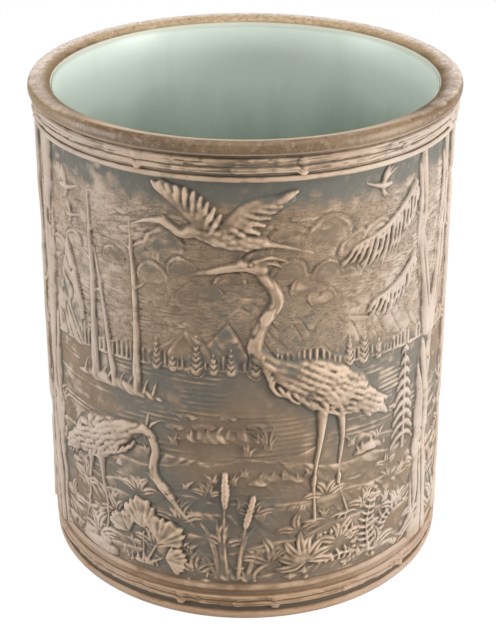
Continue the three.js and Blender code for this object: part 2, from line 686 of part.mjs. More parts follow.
// Conifers in the middle distance
const FIR_TIERS = 6;
function addConifer(name, [s, z], tall, halfWidth) {
  const swell = (t) => 1.05 - t;
  addSprig(name, toothed([[s, z], [s, z + tall]], halfWidth, FIR_LIFT, FIR_TIERS, FROND_NOTCH, swell));
}
addConifer("young_fir_right", [107, 98], 78, 10);
addConifer("fir_back_left", [-204, 96], 96, 14);
addConifer("fir_back_right", [188, 92], 104, 12);

// Clouds: low lobes that overlap, each given by its middle and its reach
function addClouds(name, lobes) {
  addSprig(name, ...lobes.map(([s, z, reach]) => limb(
    [[s - reach, z], [s + reach, z]],
    scaled([0.35, 0.95, 0.95, 0.35], reach),
    scaled([0.8, 1, 1, 0.8], CLOUD_LIFT),
    3,
  )));
}
addClouds("clouds_front", [[34, 222, 10], [47, 228, 11], [44, 214, 9]]);
addClouds("clouds_left", [[-32, 216, 8], [-20, 219, 8]]);
addClouds("clouds_right", [[182, 258, 9], [194, 252, 9]]);
addClouds("clouds_back_right", [[288, 264, 10], [303, 266, 12]]);
addClouds("clouds_back", [[-342, 264, 10], [-326, 267, 12]]);
addClouds("clouds_back_left", [[-214, 266, 9], [-199, 264, 10]]);

// Grassy hummocks at the water's edge, arched a little
const HUMMOCK_ARCH = { drop: 1, rise: 2, end: 1.2 };
function addHummock(name, [s, z], halfLength, halfHeight) {
  const { drop, rise, end } = HUMMOCK_ARCH;
  addSprig(name, limb(
    [[s - halfLength, z - drop], [s, z + rise], [s + halfLength, z - drop]],
    [end, halfHeight, halfHeight, end],
    [0.6 * HUMMOCK_LIFT, HUMMOCK_LIFT, HUMMOCK_LIFT, 0.6 * HUMMOCK_LIFT],
    3,
  ));
}
addHummock("hummock_front", [-14, 126], 26, 4.5);
addHummock("hummock_middle", [18, 98], 17, 4);
addHummock("hummock_right", [80, 108], 13, 4);
addHummock("hummock_back_right", [290, 131], 34, 5);
addHummock("hummock_back_middle", [352, 92], 26, 5);
addHummock("hummock_back", [-366, 112], 22, 5);
addHummock("hummock_back_left", [-232, 118], 18, 4.5);
addHummock("hummock_birch", [246, 104], 20, 4.5);

export default crock;
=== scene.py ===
import math
from collections import namedtuple

import bpy
import numpy as np
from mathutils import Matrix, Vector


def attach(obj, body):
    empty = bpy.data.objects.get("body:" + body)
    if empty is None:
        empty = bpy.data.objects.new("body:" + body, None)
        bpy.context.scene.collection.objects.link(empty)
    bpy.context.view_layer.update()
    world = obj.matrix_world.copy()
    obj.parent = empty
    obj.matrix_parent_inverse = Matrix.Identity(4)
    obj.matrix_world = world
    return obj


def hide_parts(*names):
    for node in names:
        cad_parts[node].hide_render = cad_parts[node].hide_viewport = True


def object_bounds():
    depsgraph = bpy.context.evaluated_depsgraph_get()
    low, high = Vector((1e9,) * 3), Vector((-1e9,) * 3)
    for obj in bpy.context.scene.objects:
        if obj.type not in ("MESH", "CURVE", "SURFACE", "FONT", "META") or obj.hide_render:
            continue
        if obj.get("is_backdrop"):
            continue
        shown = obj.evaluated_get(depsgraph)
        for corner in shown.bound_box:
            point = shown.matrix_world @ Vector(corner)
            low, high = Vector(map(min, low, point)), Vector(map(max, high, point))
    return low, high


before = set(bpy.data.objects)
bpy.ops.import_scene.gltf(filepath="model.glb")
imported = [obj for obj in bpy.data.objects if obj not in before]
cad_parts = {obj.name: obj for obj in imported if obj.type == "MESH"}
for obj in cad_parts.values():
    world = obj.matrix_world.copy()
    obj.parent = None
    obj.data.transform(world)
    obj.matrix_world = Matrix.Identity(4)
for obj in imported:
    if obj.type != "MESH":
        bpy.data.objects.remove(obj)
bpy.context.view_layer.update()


# Base slab. A flat slab of coarse stoneware clay, cut to size, that the crock stands on. Its underside
# is bare and sanded, with a shallow recess, so that the crock rests on a ring.

MM = 0.001
SLAB_COLUMNS = 240
SLAB_CORNERS = [(0, 1.2), (104, 1.2), (105, 1.15), (107, 0.05), (108, 0), (124.4, 0), (125.4, 0.5),
                (126.1, 1.3), (126.3, 2.2), (126.3, 11.8), (126.1, 12), (0, 12)]


def shade(hexadecimal):
    """Linear colour, for a shader, of a colour written as 0xRRGGBB."""
    channels = [(hexadecimal >> shift & 255) / 255 for shift in (16, 8, 0)]
    return [c / 12.92 if c <= 0.04045 else ((c + 0.055) / 1.055) ** 2.4 for c in channels] + [1.0]


def feed(tree, made, inputs):
    """Puts values or links into the inputs of a node."""
    for socket, value in inputs.items():
        if isinstance(value, bpy.types.NodeSocket):
            tree.links.new(value, made.inputs[socket])
        else:
            made.inputs[socket].default_value = value


def node(tree, kind, inputs=None, **settings):
    """A shader node with its settings, and with values or links put into its inputs."""
    made = tree.nodes.new("ShaderNode" + kind)
    for name, value in settings.items():
        setattr(made, name, value)
    feed(tree, made, inputs or {})
    return made


def effect(name, inputs, outputs):
    """An empty node group with named inputs, given with their default values, and named outputs. Returns its
    tree, what its inputs give, and the node that its outputs are fed into."""
    kinds = {float: "NodeSocketFloat", list: "NodeSocketColor", "vector": "NodeSocketVector"}
    tree = bpy.data.node_groups.new(name, "ShaderNodeTree")
    for label, value in inputs.items():
        kind = kinds["vector" if value == "vector" else type(value)]
        socket = tree.interface.new_socket(name=label, in_out="INPUT", socket_type=kind)
        if value != "vector":
            socket.default_value = value
    for label, value in outputs.items():
        tree.interface.new_socket(name=label, in_out="OUTPUT", socket_type=kinds[value])
    return tree, tree.nodes.new("NodeGroupInput").outputs, tree.nodes.new("NodeGroupOutput")


def blend(tree, factor, first, second):
    """Colour that goes from first to second, a link or 0xRRGGBB each, as the factor goes from 0 to 1."""
    first, second = (shade(colour) if isinstance(colour, int) else colour for colour in (first, second))
    return node(tree, "Mix", {0: factor, 6: first, 7: second}, data_type="RGBA").outputs[2]


def ramp(tree, value, low, high, start=0.0, end=1.0):
    """start below low and end above high, and an even rise between."""
    bounds = {"From Min": low, "From Max": high, "To Min": start, "To Max": end}
    return node(tree, "MapRange", {"Value": value, **bounds}).outputs[0]


def arithmetic(tree, operation, *values):
    """The outcome of one operation on two or three values or links."""
    return node(tree, "Math", dict(enumerate(values)), operation=operation).outputs[0]


def noise(tree, place, scale, detail=2.0, roughness=0.5):
    """Noise from 0 to 1, mostly near its middle."""
    settings = {"Vector": place, "Scale": scale, "Detail": detail, "Roughness": roughness}
    return node(tree, "TexNoise", settings).outputs["Fac"]


def bump(tree, height, strength, distance):
    """The normal of a surface with small bumps."""
    made = node(tree, "Bump", {"Height": height, "Strength": strength, "Distance": distance})
    return made.outputs["Normal"]


def axis_distance(tree, place):
    """Distance from the pot's axis."""
    flat = node(tree, "VectorMath", {0: place, 1: (1, 1, 0)}, operation="MULTIPLY").outputs[0]
    return node(tree, "VectorMath", {0: flat}, operation="LENGTH").outputs["Value"]


def fired_clay():
    """The grain of fired stoneware: iron specks, small pits, and a slow change of tone."""
    masks = {"Specks": float, "Height": float, "Tone": float}
    tree, given, out = effect("fired_clay", {"Place": "vector"}, masks)
    feed(tree, out, {
        "Specks": ramp(tree, noise(tree, given["Place"], 620.0), 0.64, 0.74),
        "Height": noise(tree, given["Place"], 1500.0, 3.0, 0.7),
        "Tone": ramp(tree, noise(tree, given["Place"], 34.0, 4.0, 0.6), 0.32, 0.68),
    })
    return tree


clay_grain = fired_clay()


def new_material(name):
    """An empty material with its Principled shader. Returns the material, its tree and the shader."""
    material = bpy.data.materials.new(name)
    material.use_nodes = True
    return material, material.node_tree, material.node_tree.nodes["Principled BSDF"]


def object_place(tree):
    """The place on the object, in metres."""
    return node(tree, "TexCoord").outputs["Object"]


def grain_at(tree, place):
    """What the fired clay's grain gives at a place."""
    return node(tree, "Group", {"Place": place}, node_tree=clay_grain).outputs


def bare_clay():
    """Unglazed stoneware, buff with iron specks, rough and slightly pitted, brown where slip ran over its
    rim."""
    material, tree, shader = new_material("bare_clay")
    place = object_place(tree)
    grain = grain_at(tree, place)
    colour = blend(tree, grain["Tone"], 0xA08A6E, 0xBCA586)
    colour = blend(tree, ramp(tree, axis_distance(tree, place), 0.1225, 0.1245), colour, 0x5F5448)
    colour = blend(tree, grain["Specks"], colour, 0x5E4A35)
    normal = bump(tree, grain["Height"], 0.5, 0.0003)
    feed(tree, shader, {"Base Color": colour, "Normal": normal, "Roughness": 0.9})
    return material


bare_clay_finish = bare_clay()


def laid_mesh(name, points, face_sets, finish):
    """An object from an array of points in metres and arrays of faces, each with its own corner count."""
    mesh = bpy.data.meshes.new(name)
    corners = np.concatenate([faces.ravel() for faces in face_sets]).astype(np.int32)
    counts = np.concatenate([np.full(len(faces), faces.shape[1]) for faces in face_sets])
    mesh.vertices.add(len(points))
    mesh.vertices.foreach_set("co", np.ascontiguousarray(points, np.float32).ravel())
    mesh.loops.add(len(corners))
    mesh.loops.foreach_set("vertex_index", corners)
    mesh.polygons.add(len(counts))
    mesh.polygons.foreach_set("loop_start", (np.cumsum(counts) - counts).astype(np.int32))
    mesh.polygons.foreach_set("use_smooth", np.ones(len(counts), bool))
    mesh.update(calc_edges=True)
    mesh.materials.append(finish)
    piece = bpy.data.objects.new(name, mesh)
    bpy.context.scene.collection.objects.link(piece)
    return piece


def turned_points(radius, height, columns):
    """Points of a turned form. radius and height hold one row for each column round the pot, or one for
    all."""
    angle = np.arange(columns)[:, None] * (2 * math.pi / columns)
    radius = np.broadcast_to(radius, (columns, np.shape(radius)[-1]))
    height = np.broadcast_to(height, radius.shape)
    return np.stack([radius * np.sin(angle), -radius * np.cos(angle), height], -1).reshape(-1, 3) * MM


def turned_faces(columns, stations, closed):
    """Quads between neighbouring columns and stations. A closed section joins its last station to its
    first."""
    rows = np.arange(stations if closed else stations - 1)
    column, station = np.meshgrid(np.arange(columns), rows, indexing="ij")
    after, above = (column + 1) % columns, (station + 1) % stations
    quads = [(column, station), (after, station), (after, above), (column, above)]
    return np.stack([c * stations + s for c, s in quads], -1).reshape(-1, 4)


def turned_solid(name, section, columns, finish):
    """A solid turned from a section that starts and ends on the axis, with one point at each pole."""
    section = np.array(section, float)
    points = turned_points(section[1:-1, 0], section[1:-1, 1], columns)
    poles = np.array([[0, 0, section[0, 1]], [0, 0, section[-1, 1]]]) * MM
    stations = len(section) - 2
    first = np.arange(columns) * stations
    after = np.roll(first, -1)
    low, high = len(points), len(points) + 1
    fans = [np.stack([np.full(columns, low), after, first], -1),
            np.stack([first + stations - 1, after + stations - 1, np.full(columns, high)], -1)]
    faces = [turned_faces(columns, stations, False), *fans]
    return laid_mesh(name, np.concatenate([points, poles]), faces, finish)


def stand_for(piece, name):
    """Puts a piece in the place of its node in the frame, on the crock's only body."""
    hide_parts(name)
    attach(piece, "root")


base_slab = turned_solid("base_slab_clay", SLAB_CORNERS, SLAB_COLUMNS, bare_clay_finish)
stand_for(base_slab, "base_slab")


# Corner coil. A soft roll of the same clay, thumbed into the corner between slab and wall so that the
# joint is sealed. The glaze covers it, so the node of the frame stays, in bare clay.

corner_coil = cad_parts["corner_coil"]
corner_coil.data.materials.clear()
corner_coil.data.materials.append(bare_clay_finish)


# Wall. A cylinder pressed in a mould, whose ground carries the low carving: sky, clouds, mountains, woods
# on the far shore, water, banks and leaves. Its plain collar and foot show as narrow grooves.

ARC_RADIUS = 126.0
ROUND = 2 * math.pi * ARC_RADIUS
COLUMNS = 1200
ROWS = 400
PANEL_FOOT = 24.0
PANEL_HEAD = 288.6
COLUMN_STEP = ROUND / COLUMNS
ROW_STEP = (PANEL_HEAD - PANEL_FOOT) / ROWS
SUNK = -2.4
BANK_HEIGHTS = [115, 106, 90, 79, 62, 52, 36]
WALL_INNER_RADIUS = 116.2
GROUND_RADII = {"heights": [12, 286], "radii": [126.3, 124.9]}
WALL_SECTIONS = 6
WALL_BLOCK = 8
GROUND_MARGIN = 40
Spot = namedtuple("Spot", "along side width s z")


def ground_radius(height):
    """Radius of the wall's ground at a height: an even taper from foot to collar."""
    return np.interp(height, GROUND_RADII["heights"], GROUND_RADII["radii"])


def on_wall(arc, height, lift):
    """Points in metres at an arc length from the front, a height, and a lift above the ground, all in mm."""
    angle = arc / ARC_RADIUS
    radius = ground_radius(height) + lift
    points = np.stack([radius * np.sin(angle), -radius * np.cos(angle), height + 0 * angle], -1)
    return points.reshape(-1, 3) * MM


def clay_noise(x, y, seed, wrap=64):
    """Smooth values from 0 to 1: random numbers on a lattice of unit squares, joined by smooth steps."""
    table = np.random.default_rng(seed).random((wrap, 64))
    column, row = np.floor(x).astype(int), np.floor(y).astype(int)
    u, v = x - column, y - row
    u, v = u * u * (3 - 2 * u), v * v * (3 - 2 * v)
    left, right, low, high = column % wrap, (column + 1) % wrap, row % 64, (row + 1) % 64
    near = table[left, low] * (1 - u) + table[right, low] * u
    far = table[left, high] * (1 - u) + table[right, high] * u
    return near * (1 - v) + far * v


def round_noise(arc, height, width, rise, seed):
    """Clay noise on patches of about that width and rise in mm, that meets itself at the back of the pot."""
    patches = max(2, round(ROUND / width))
    return clay_noise(arc / ROUND * patches, height / rise, seed, patches)


def smooth_step(value, low, high):
    """0 below low, 1 above high, and a soft S between."""
    t = np.clip((value - low) / (high - low), 0, 1)
    return t * t * (3 - 2 * t)


def bell(value, width):
    """1 where the value is 0, falling off to both sides."""
    return np.exp(-((value / width) ** 2))


def cuts(noise_values, width):
    """-1 where a noise crosses its middle, and 0 away from there: knife cuts that wander."""
    return np.clip(np.abs(noise_values - 0.5) / width, 0, 1) - 1


def smooth_line(points, pieces=5):
    """Points along a smooth curve through the given ones (Catmull-Rom)."""
    points = np.array(points, float)
    if len(points) == 2:
        return points
    padded = np.vstack([2 * points[0] - points[1], points, 2 * points[-1] - points[-2]])
    t = np.linspace(0, 1, pieces, endpoint=False)[:, None]
    runs = []
    for a, b, c, d in zip(padded, padded[1:], padded[2:], padded[3:]):
        runs.append(b + 0.5 * t * (c - a + t * (2 * a - 5 * b + 4 * c - d + t * (3 * (b - c) + d - a))))
    return np.vstack([*runs, points[-1:]])


def beside(line, arc, height):
    """For each point, the length along the line to its nearest point, the distance to that point, signed
    by the side it lies on, and the line's whole length."""
    run = np.diff(line, axis=0)
    lengths = np.hypot(run[:, 0], run[:, 1])
    before = np.cumsum(lengths) - lengths
    from_s = arc[None] - line[:-1, 0, None, None]
    from_z = height[None] - line[:-1, 1, None, None]
    run_s, run_z = run[:, 0, None, None], run[:, 1, None, None]
    part = np.clip((from_s * run_s + from_z * run_z) / (run_s**2 + run_z**2), 0, 1)
    away = np.hypot(from_s - part * run_s, from_z - part * run_z)
    nearest = away.argmin(0)[None]
    pick = lambda values: np.take_along_axis(values, nearest, 0)[0]
    along = pick(before[:, None, None] + part * lengths[:, None, None])
    side = pick(away) * np.sign(pick(run_s * from_z - run_z * from_s) + 1e-12)
    return along, side, lengths.sum()


def evenly(values, part):
    """The value at a part from 0 to 1 along a list of evenly spaced values."""
    return np.interp(part, np.linspace(0, 1, len(values)), values)


def blurred(values, rows, columns):
    """A softened copy of a lattice: a bell curve of those widths in cells, wrapped round the pot."""
    pad = 48
    padded = np.pad(values, ((pad, pad), (0, 0)), mode="reflect" if values.shape[0] > pad else "edge")
    down = np.fft.fftfreq(padded.shape[0])[:, None] * rows
    across = np.fft.rfftfreq(padded.shape[1])[None] * columns
    bell = np.exp(-2 * math.pi**2 * (down**2 + across**2))
    return np.fft.irfft2(np.fft.rfft2(padded) * bell, padded.shape)[pad:-pad]


class Clay:
    """A patch of clay on the wall's lattice. lift says how far it stands off the ground, in mm."""

    def __init__(self, s_low, s_high, z_low, z_high, block=4, start=SUNK):
        """The smallest patch of whole blocks that holds these arcs and heights."""
        self.block = block
        floor = lambda value: math.floor(value / block) * block
        ceil = lambda value: math.ceil(value / block) * block
        columns = floor(s_low / COLUMN_STEP), ceil(s_high / COLUMN_STEP)
        rows = floor((z_low - PANEL_FOOT) / ROW_STEP), ceil((z_high - PANEL_FOOT) / ROW_STEP)
        self.columns = np.arange(columns[0], columns[1] + 1)
        self.rows = np.arange(max(0, rows[0]), min(ROWS, rows[1]) + 1)
        self.s, self.z = np.meshgrid(self.columns * COLUMN_STEP, PANEL_FOOT + self.rows * ROW_STEP)
        self.lift = np.full(self.s.shape, float(start))

    def around(self, line, reach):
        """The part of the patch within reach of a line, as a pair of slices, or None."""
        low, high = line.min(0) - reach, line.max(0) + reach
        columns = [int((value - self.s[0, 0]) / COLUMN_STEP) for value in (low[0], high[0])]
        rows = [int((value - self.z[0, 0]) / ROW_STEP) for value in (low[1], high[1])]
        columns = slice(max(0, columns[0]), max(0, columns[1] + 2))
        rows = slice(max(0, rows[0]), max(0, rows[1] + 2))
        part = self.lift[rows, columns]
        return (rows, columns) if part.size else None

    def roll(self, spine, widths, lifts, crown=2.5, skin=None, blend=0.0, base=None):
        """Lays a roll of clay along a spine: height = lift x (1 - (distance / half width) ^ crown), which
        falls on under the ground outside it, or a bell curve if the crown is 0. skin adds its own height at
        each Spot. With a base, a copy of the lift so far, the roll lies on that surface instead of on the
        ground."""
        line = smooth_line(spine)
        patch = self.around(line, 1.4 * max(widths) + 1.2)
        if patch is None:
            return
        along, side, length = beside(line, self.s[patch], self.z[patch])
        width = evenly(widths, along / length)
        out = np.abs(side) / width
        shape = 1 - out**crown if crown else np.exp(-2.2 * out**2)
        height = evenly(lifts, along / length) * shape
        if base is not None:
            height = height + base[patch]
        if skin is not None:
            relief = skin(Spot(along, side, width, self.s[patch], self.z[patch]))
            height = height + relief * np.clip(1.15 - out**4, 0, 1)
        height = np.maximum(height, SUNK)
        held = self.lift[patch]
        if blend:
            near = np.clip(0.5 + 0.5 * (height - held) / blend, 0, 1)
            self.lift[patch] = held + (height - held) * near + blend * near * (1 - near)
        else:
            self.lift[patch] = np.maximum(held, height)

    def press(self, spine, width, depth):
        """Presses a groove along a spine, or raises a ridge if the depth is below 0: a parabola across."""
        line = smooth_line(spine)
        patch = self.around(line, width + 0.8)
        if patch is None:
            return
        side = beside(line, self.s[patch], self.z[patch])[1]
        groove = depth * np.clip(1 - (side / width) ** 2, 0, 1)
        self.lift[patch] -= np.where(self.lift[patch] > SUNK, groove, 0)


def clay_mesh(name, clay, back_radius, finish):
    """A closed body from a patch of clay: a fine face wherever a block of the lattice holds clay, a back of
    one quad for each block at back_radius (a function of the height), and edges that join the two."""
    block, lift = clay.block, clay.lift
    down, across = (lift.shape[0] - 1) // block, (lift.shape[1] - 1) // block
    held = lift > SUNK + 1e-6
    kept = np.zeros((down, across), bool)
    for i in range(block + 1):
        for j in range(block + 1):
            kept |= held[i:i + down * block:block, j:j + across * block:block][:down, :across]
    cells = kept.repeat(block, 0).repeat(block, 1)
    used = np.zeros(lift.shape, bool)
    corner = np.zeros((down + 1, across + 1), bool)
    for i in (0, 1):
        for j in (0, 1):
            used[i:i + cells.shape[0], j:j + cells.shape[1]] |= cells
            corner[i:i + down, j:j + across] |= kept
    face_id = np.cumsum(used).reshape(used.shape) - 1
    back_id = used.sum() + np.cumsum(corner).reshape(corner.shape) - 1
    back_s, back_z = clay.s[::block, ::block][corner], clay.z[::block, ::block][corner]
    points = np.concatenate([
        on_wall(clay.s[used], clay.z[used], lift[used]),
        on_wall(back_s, back_z, back_radius(back_z) - ground_radius(back_z)),
    ])
    square = lambda ids, i, j: np.stack([ids[i, j], ids[i, j + 1], ids[i + 1, j + 1], ids[i + 1, j]], -1)
    face = square(face_id, *np.nonzero(cells))
    back = square(back_id, *np.nonzero(kept))[:, ::-1]
    edges = []
    padded = np.pad(kept, 1)
    ahead, behind = np.arange(block + 1), np.arange(block, -1, -1)
    for (near_row, near_column), rows, columns, ends in [
        ((-1, 0), 0 * ahead, behind, [(0, 0), (0, 1)]),
        ((1, 0), block + 0 * ahead, ahead, [(1, 1), (1, 0)]),
        ((0, -1), ahead, 0 * ahead, [(1, 0), (0, 0)]),
        ((0, 1), behind, block + 0 * ahead, [(0, 1), (1, 1)]),
    ]:
        neighbour = padded[1 + near_row:1 + near_row + down, 1 + near_column:1 + near_column + across]
        row, column = np.nonzero(kept & ~neighbour)
        rim = [face_id[row * block + i, column * block + j] for i, j in zip(rows, columns)]
        rim += [back_id[row + i, column + j] for i, j in ends]
        edges.append(np.stack(rim, -1))
    piece = laid_mesh(name, points, [face, back, np.concatenate(edges)], finish)
    panel_pieces.append((piece, clay, used))
    return piece


def ground_roll(spine, widths, lifts, **how):
    """A roll of clay on the ground, laid again one round away where it is near the lattice's ends at the
    back."""
    ground.roll(spine, widths, lifts, **how)
    if abs(spine[0][0]) > ROUND / 2 - GROUND_MARGIN:
        away = math.copysign(ROUND, spine[0][0])
        ground.roll([(s - away, z) for s, z in spine], widths, lifts, **how)


def shore_height(arc):
    """Height of the far shore: a slow wave round the pot, highest at the front."""
    return 160 + 12 * np.cos(np.asarray(arc) / ARC_RADIUS)


def engraved_sky(arc, height):
    """Broken wavy strokes, cut where a noise drawn out along the horizon crosses its middle, in patches."""
    drift = height + 14 * (round_noise(arc, height, 44, 24, 11) - 0.5)
    strokes = 1 + cuts(round_noise(arc, drift, 10, 2.4, 12), 0.17)
    fine = round_noise(arc, drift, 5, 1.5, 14) - 0.5
    patches = smooth_step(round_noise(arc, height, 30, 20, 13), 0.25, 0.7)
    shore = shore_height(arc)
    inside = smooth_step(height, shore, shore + 12) * smooth_step(height, 280, 268)
    return inside * (0.04 + patches * (0.5 * strokes + 0.35 * fine))


def cloud_lobe(clay, arc, height, radius, footing=0.0):
    """One round lobe of a cloud, over what is there: a dome streaked along the horizon that fades downwards,
    with a raised rim, a groove outside it and a finer one inside."""
    patch = clay.around(np.array([[arc, height]]), 1.2 * radius + 2)
    if patch is None:
        return
    s, z = clay.s[patch] - arc, clay.z[patch] - height
    turn = np.arctan2(z, s)
    wobble = 1 + 0.05 * np.sin(3 * turn + arc) + 0.02 * np.sin(5 * turn + height)
    out = np.hypot(s, z * 1.1) / (radius * wobble)
    upper = smooth_step(z / radius, -0.7, 0.4)
    line = lambda at, width: bell((out - at) * radius, width) * upper
    dome = footing + 0.3 + 0.7 * np.sqrt(np.clip(1 - out**2, 0, 1))
    dome = dome + 0.42 * line(0.92, 0.9) - 0.25 * line(0.74, 0.7)
    streaks = round_noise(clay.s[patch], clay.z[patch], 11, 2.4, 16) - 0.5
    dome = dome + 0.12 * line(0.58, 0.9) + 0.5 * streaks
    fade = smooth_step(z / radius, -0.95, 0.05)
    body = dome * fade - 0.6 * (1 - fade)
    held = clay.lift[patch]
    groove = 0.5 * line(1.1, 1.0) * (held > SUNK)
    clay.lift[patch] = np.where(out < 1, np.maximum(body, held * (1 - fade)), held - groove)


def planed(arc, height, seed):
    """Clay planed in slanting strokes: noise drawn out along one slope, with a cut where it crosses its
    middle."""
    slant = round_noise(arc + 0.55 * height, height - 0.9 * arc, 5.6, 17, seed)
    cross = round_noise(arc - 0.8 * height, height + 0.7 * arc, 8.5, 15, seed + 1)
    return 0.85 * cuts(slant, 0.13) + 0.9 * (cross - 0.5)


def range_line(arc):
    """Height of the mountains' ridge above the far shore: three noises, from broad to fine."""
    broad, middle, fine = (round_noise(arc, 0 * arc, width, 1, width) for width in (64, 21, 8))
    return 8 + 44 * np.clip(broad - 0.3, 0, 1) + 15 * (middle - 0.4) + 4 * (fine - 0.5)


def mountains(arc, height):
    """Planed mountains behind the far shore, highest along their ridge."""
    inside = shore_height(arc) + range_line(arc) - height
    face = 0.4 + 0.3 * bell(inside - 0.9, 1.5) + 0.62 * planed(arc, height, 17)
    return face * smooth_step(inside, -0.4, 0.8), smooth_step(inside, -0.4, 0.8)


def far_woods(arc, height):
    """Woods along the far shore: a ragged crown line, over upright strokes of uneven width and depth."""
    crown = shore_height(arc) + 5 + 7 * round_noise(arc, 0 * arc, 19, 1, 27)
    crown = crown + 4 * round_noise(arc, 0 * arc, 4, 1, 28)
    inside = crown - height
    trees = np.cos(2 * math.pi * (arc + 7 * round_noise(arc, 0 * arc, 12, 1, 29)) / 3.4)
    strokes = trees * (0.15 + 0.8 * round_noise(arc, height, 6, 5, 31))
    face = 0.6 + 0.25 * np.exp(-np.clip(inside, 0, 30) / 4) + strokes * smooth_step(inside, 0.3, 2)
    return face * smooth_step(inside, -0.4, 0.9), smooth_step(inside, -0.4, 0.9)


def ripples(arc, height):
    """Long strokes of the tool along the water, in broken rows: a cosine of the height, bent by a slow
    noise."""
    rows = height + 3.5 * round_noise(arc, height, 58, 22, 14)
    broken = smooth_step(round_noise(arc, height, 25, 4.6, 15), 0.42, 0.7)
    return 0.12 + 0.55 * broken * (0.5 + 0.5 * np.cos(2 * math.pi * rows / 3.3))


def banks(arc, height):
    """Grassy banks below the water, one in front of another: each stands proud along its crest and falls
    away below it, height = 1.2 x exp(-depth / 6), cut all over with slanting strokes for turf."""
    lift = np.zeros(arc.shape)
    for k, middle in enumerate(BANK_HEIGHTS):
        crest = middle + 17 * (round_noise(arc, 0 * arc, 61, 1, 30 + k) - 0.5)
        crest = crest + 4 * (round_noise(arc, 0 * arc, 16, 1, 50 + k) - 0.5)
        depth = crest - height
        lean = 0.75 if k % 2 else -0.75
        turf = round_noise(arc + lean * height, height, 3.1, 10, 70 + k) - 0.5
        grassy = smooth_step(round_noise(arc, height, 24, 12, 80 + k), 0.3, 0.6)
        face = 1.15 * np.exp(-np.clip(depth, 0, 60) / 6) + 1.15 * turf * grassy + 0.1
        before = smooth_step(depth, -0.7, 0.9)
        lift = lift * (1 - before) + face * before
    return lift * smooth_step(height, 24, 32)


def grass(arc, foot, size, carver):
    """A tuft: blades that fan out of one foot, each bent outwards, no two tufts alike."""
    blades = int(carver.integers(3, 7))
    for k in range(blades):
        lean = (k / (blades - 1) - 0.5) * carver.uniform(1.1, 2.0) + carver.uniform(-0.35, 0.35)
        tall = size * carver.uniform(0.55, 1.15) * (1 - 0.25 * abs(lean))
        spine = [(arc + k - blades / 2, foot), (arc + 0.35 * lean * tall, foot + 0.6 * tall),
                 (arc + 0.95 * lean * tall, foot + tall)]
        ground_roll(spine, [0.9, 1.2, 0.6], [1.0, 1.5, 0.7], crown=2)


def leaf_spray(arc, foot, size, carver):
    """A low plant of broad pointed leaves, each with a cut midrib."""
    count = int(carver.integers(3, 6))
    turns = np.linspace(0.2, 2.94, count) + carver.uniform(-0.25, 0.25, count)
    for turn in turns[np.argsort(-np.abs(turns - 1.57))]:
        reach = size * carver.uniform(0.8, 1.15)
        bend = 0.3 * math.copysign(1, 1.57 - turn)
        half = 0.55 * reach
        spine = [(arc, foot), (arc + half * math.cos(turn + bend), foot + half * math.sin(turn + bend)),
                 (arc + reach * math.cos(turn), foot + reach * math.sin(turn))]
        ground_roll(spine, [0.8, 0.21 * size, 0.17 * size, 0.5], [0.9, 1.9, 1.8, 0.8], crown=2.6,
                    skin=lambda spot: -0.8 * bell(spot.side, 0.8))


def lily_pad(arc, height, reach):
    """A round leaf on the water seen from low down: a flat oval, cut open towards the viewer."""
    patch = ground.around(np.array([[arc, height]]), reach + 2)
    s, z = (ground.s[patch] - arc) / reach, (ground.z[patch] - height) / (0.38 * reach)
    out = np.hypot(s, z)
    notch = smooth_step(np.abs(s + 0.35 * z) * reach, 0.5, 1.1) + (z > -0.1)
    leaf = 0.95 * np.clip(1.25 - out**4, 0, 1) * np.clip(notch, 0, 1)
    ground.lift[patch] = np.maximum(ground.lift[patch] - 0.25 * bell(out - 1.2, 0.15), leaf)


panel_pieces = []
ground_end = ROUND / 2 + GROUND_MARGIN
ground = Clay(-ground_end, ground_end, PANEL_FOOT, PANEL_HEAD, WALL_BLOCK, start=0)
ground.lift += engraved_sky(ground.s, ground.z)

CLOUDS = [
    (-58, 238, 10), (-46, 246, 12), (-54, 226, 10), (-36, 232, 9), (-8, 226, 9), (-80, 232, 8),
    (-114, 232, 8), (10, 236, 13), (26, 246, 15), (48, 250, 15), (66, 240, 13), (24, 230, 11),
    (80, 246, 11), (60, 226, 9),
    (172, 254, 11), (188, 246, 13), (204, 240, 10), (240, 226, 10), (276, 258, 12), (292, 250, 14),
    (314, 256, 15), (332, 250, 12), (300, 240, 10), (358, 224, 10), (372, 230, 13), (388, 222, 11),
    (-356, 256, 12), (-338, 250, 14), (-316, 260, 14), (-300, 252, 11), (-284, 242, 10), (-228, 256, 11),
    (-208, 252, 13), (-190, 246, 11), (-132, 222, 9),
]
for cloud in CLOUDS:
    cloud_lobe(ground, *cloud)

for backdrop in (mountains, far_woods):
    face, cover = backdrop(ground.s, ground.z)
    ground.lift = ground.lift * (1 - cover) + face
on_water = smooth_step(shore_height(ground.s) - ground.z, -0.6, 0.6)
ground.lift = ground.lift * (1 - on_water) + ripples(ground.s, ground.z) * on_water
turf_banks = banks(ground.s, ground.z)
on_land = smooth_step(turf_banks, 0.02, 0.3) * smooth_step(ground.z, 124, 116)
ground.lift = ground.lift * (1 - on_land) + turf_banks * on_land

SHORE_STONES = 120
FIR_ARCS = [-28, -18, -8, 6, 18, 62, 72, 83, 164, 173, 184, 233, 243, 262, 272, 283, 352, 362, 374,
            -372, -360, -350, -296, -286, -274, -232, -222, -198, -188, -52, -42]
LILY_PADS = [(-34, 140, 6), (-24, 134, 7), (-42, 132, 6), (-10, 141, 5), (6, 136, 6), (80, 132, 6),
             (88, 138, 5), (96, 129, 6), (184, 128, 6), (230, 136, 6), (262, 142, 6), (-346, 138, 6),
             (-282, 134, 7), (-232, 138, 6)]
TUFTS = [{"count": 150, "feet": (36, 112), "sizes": (6, 11)},
         {"count": 44, "feet": (110, 126), "sizes": (6, 15)}]
SPRAYS = 62
GOLDEN_PART = 0.618
STONES = 70

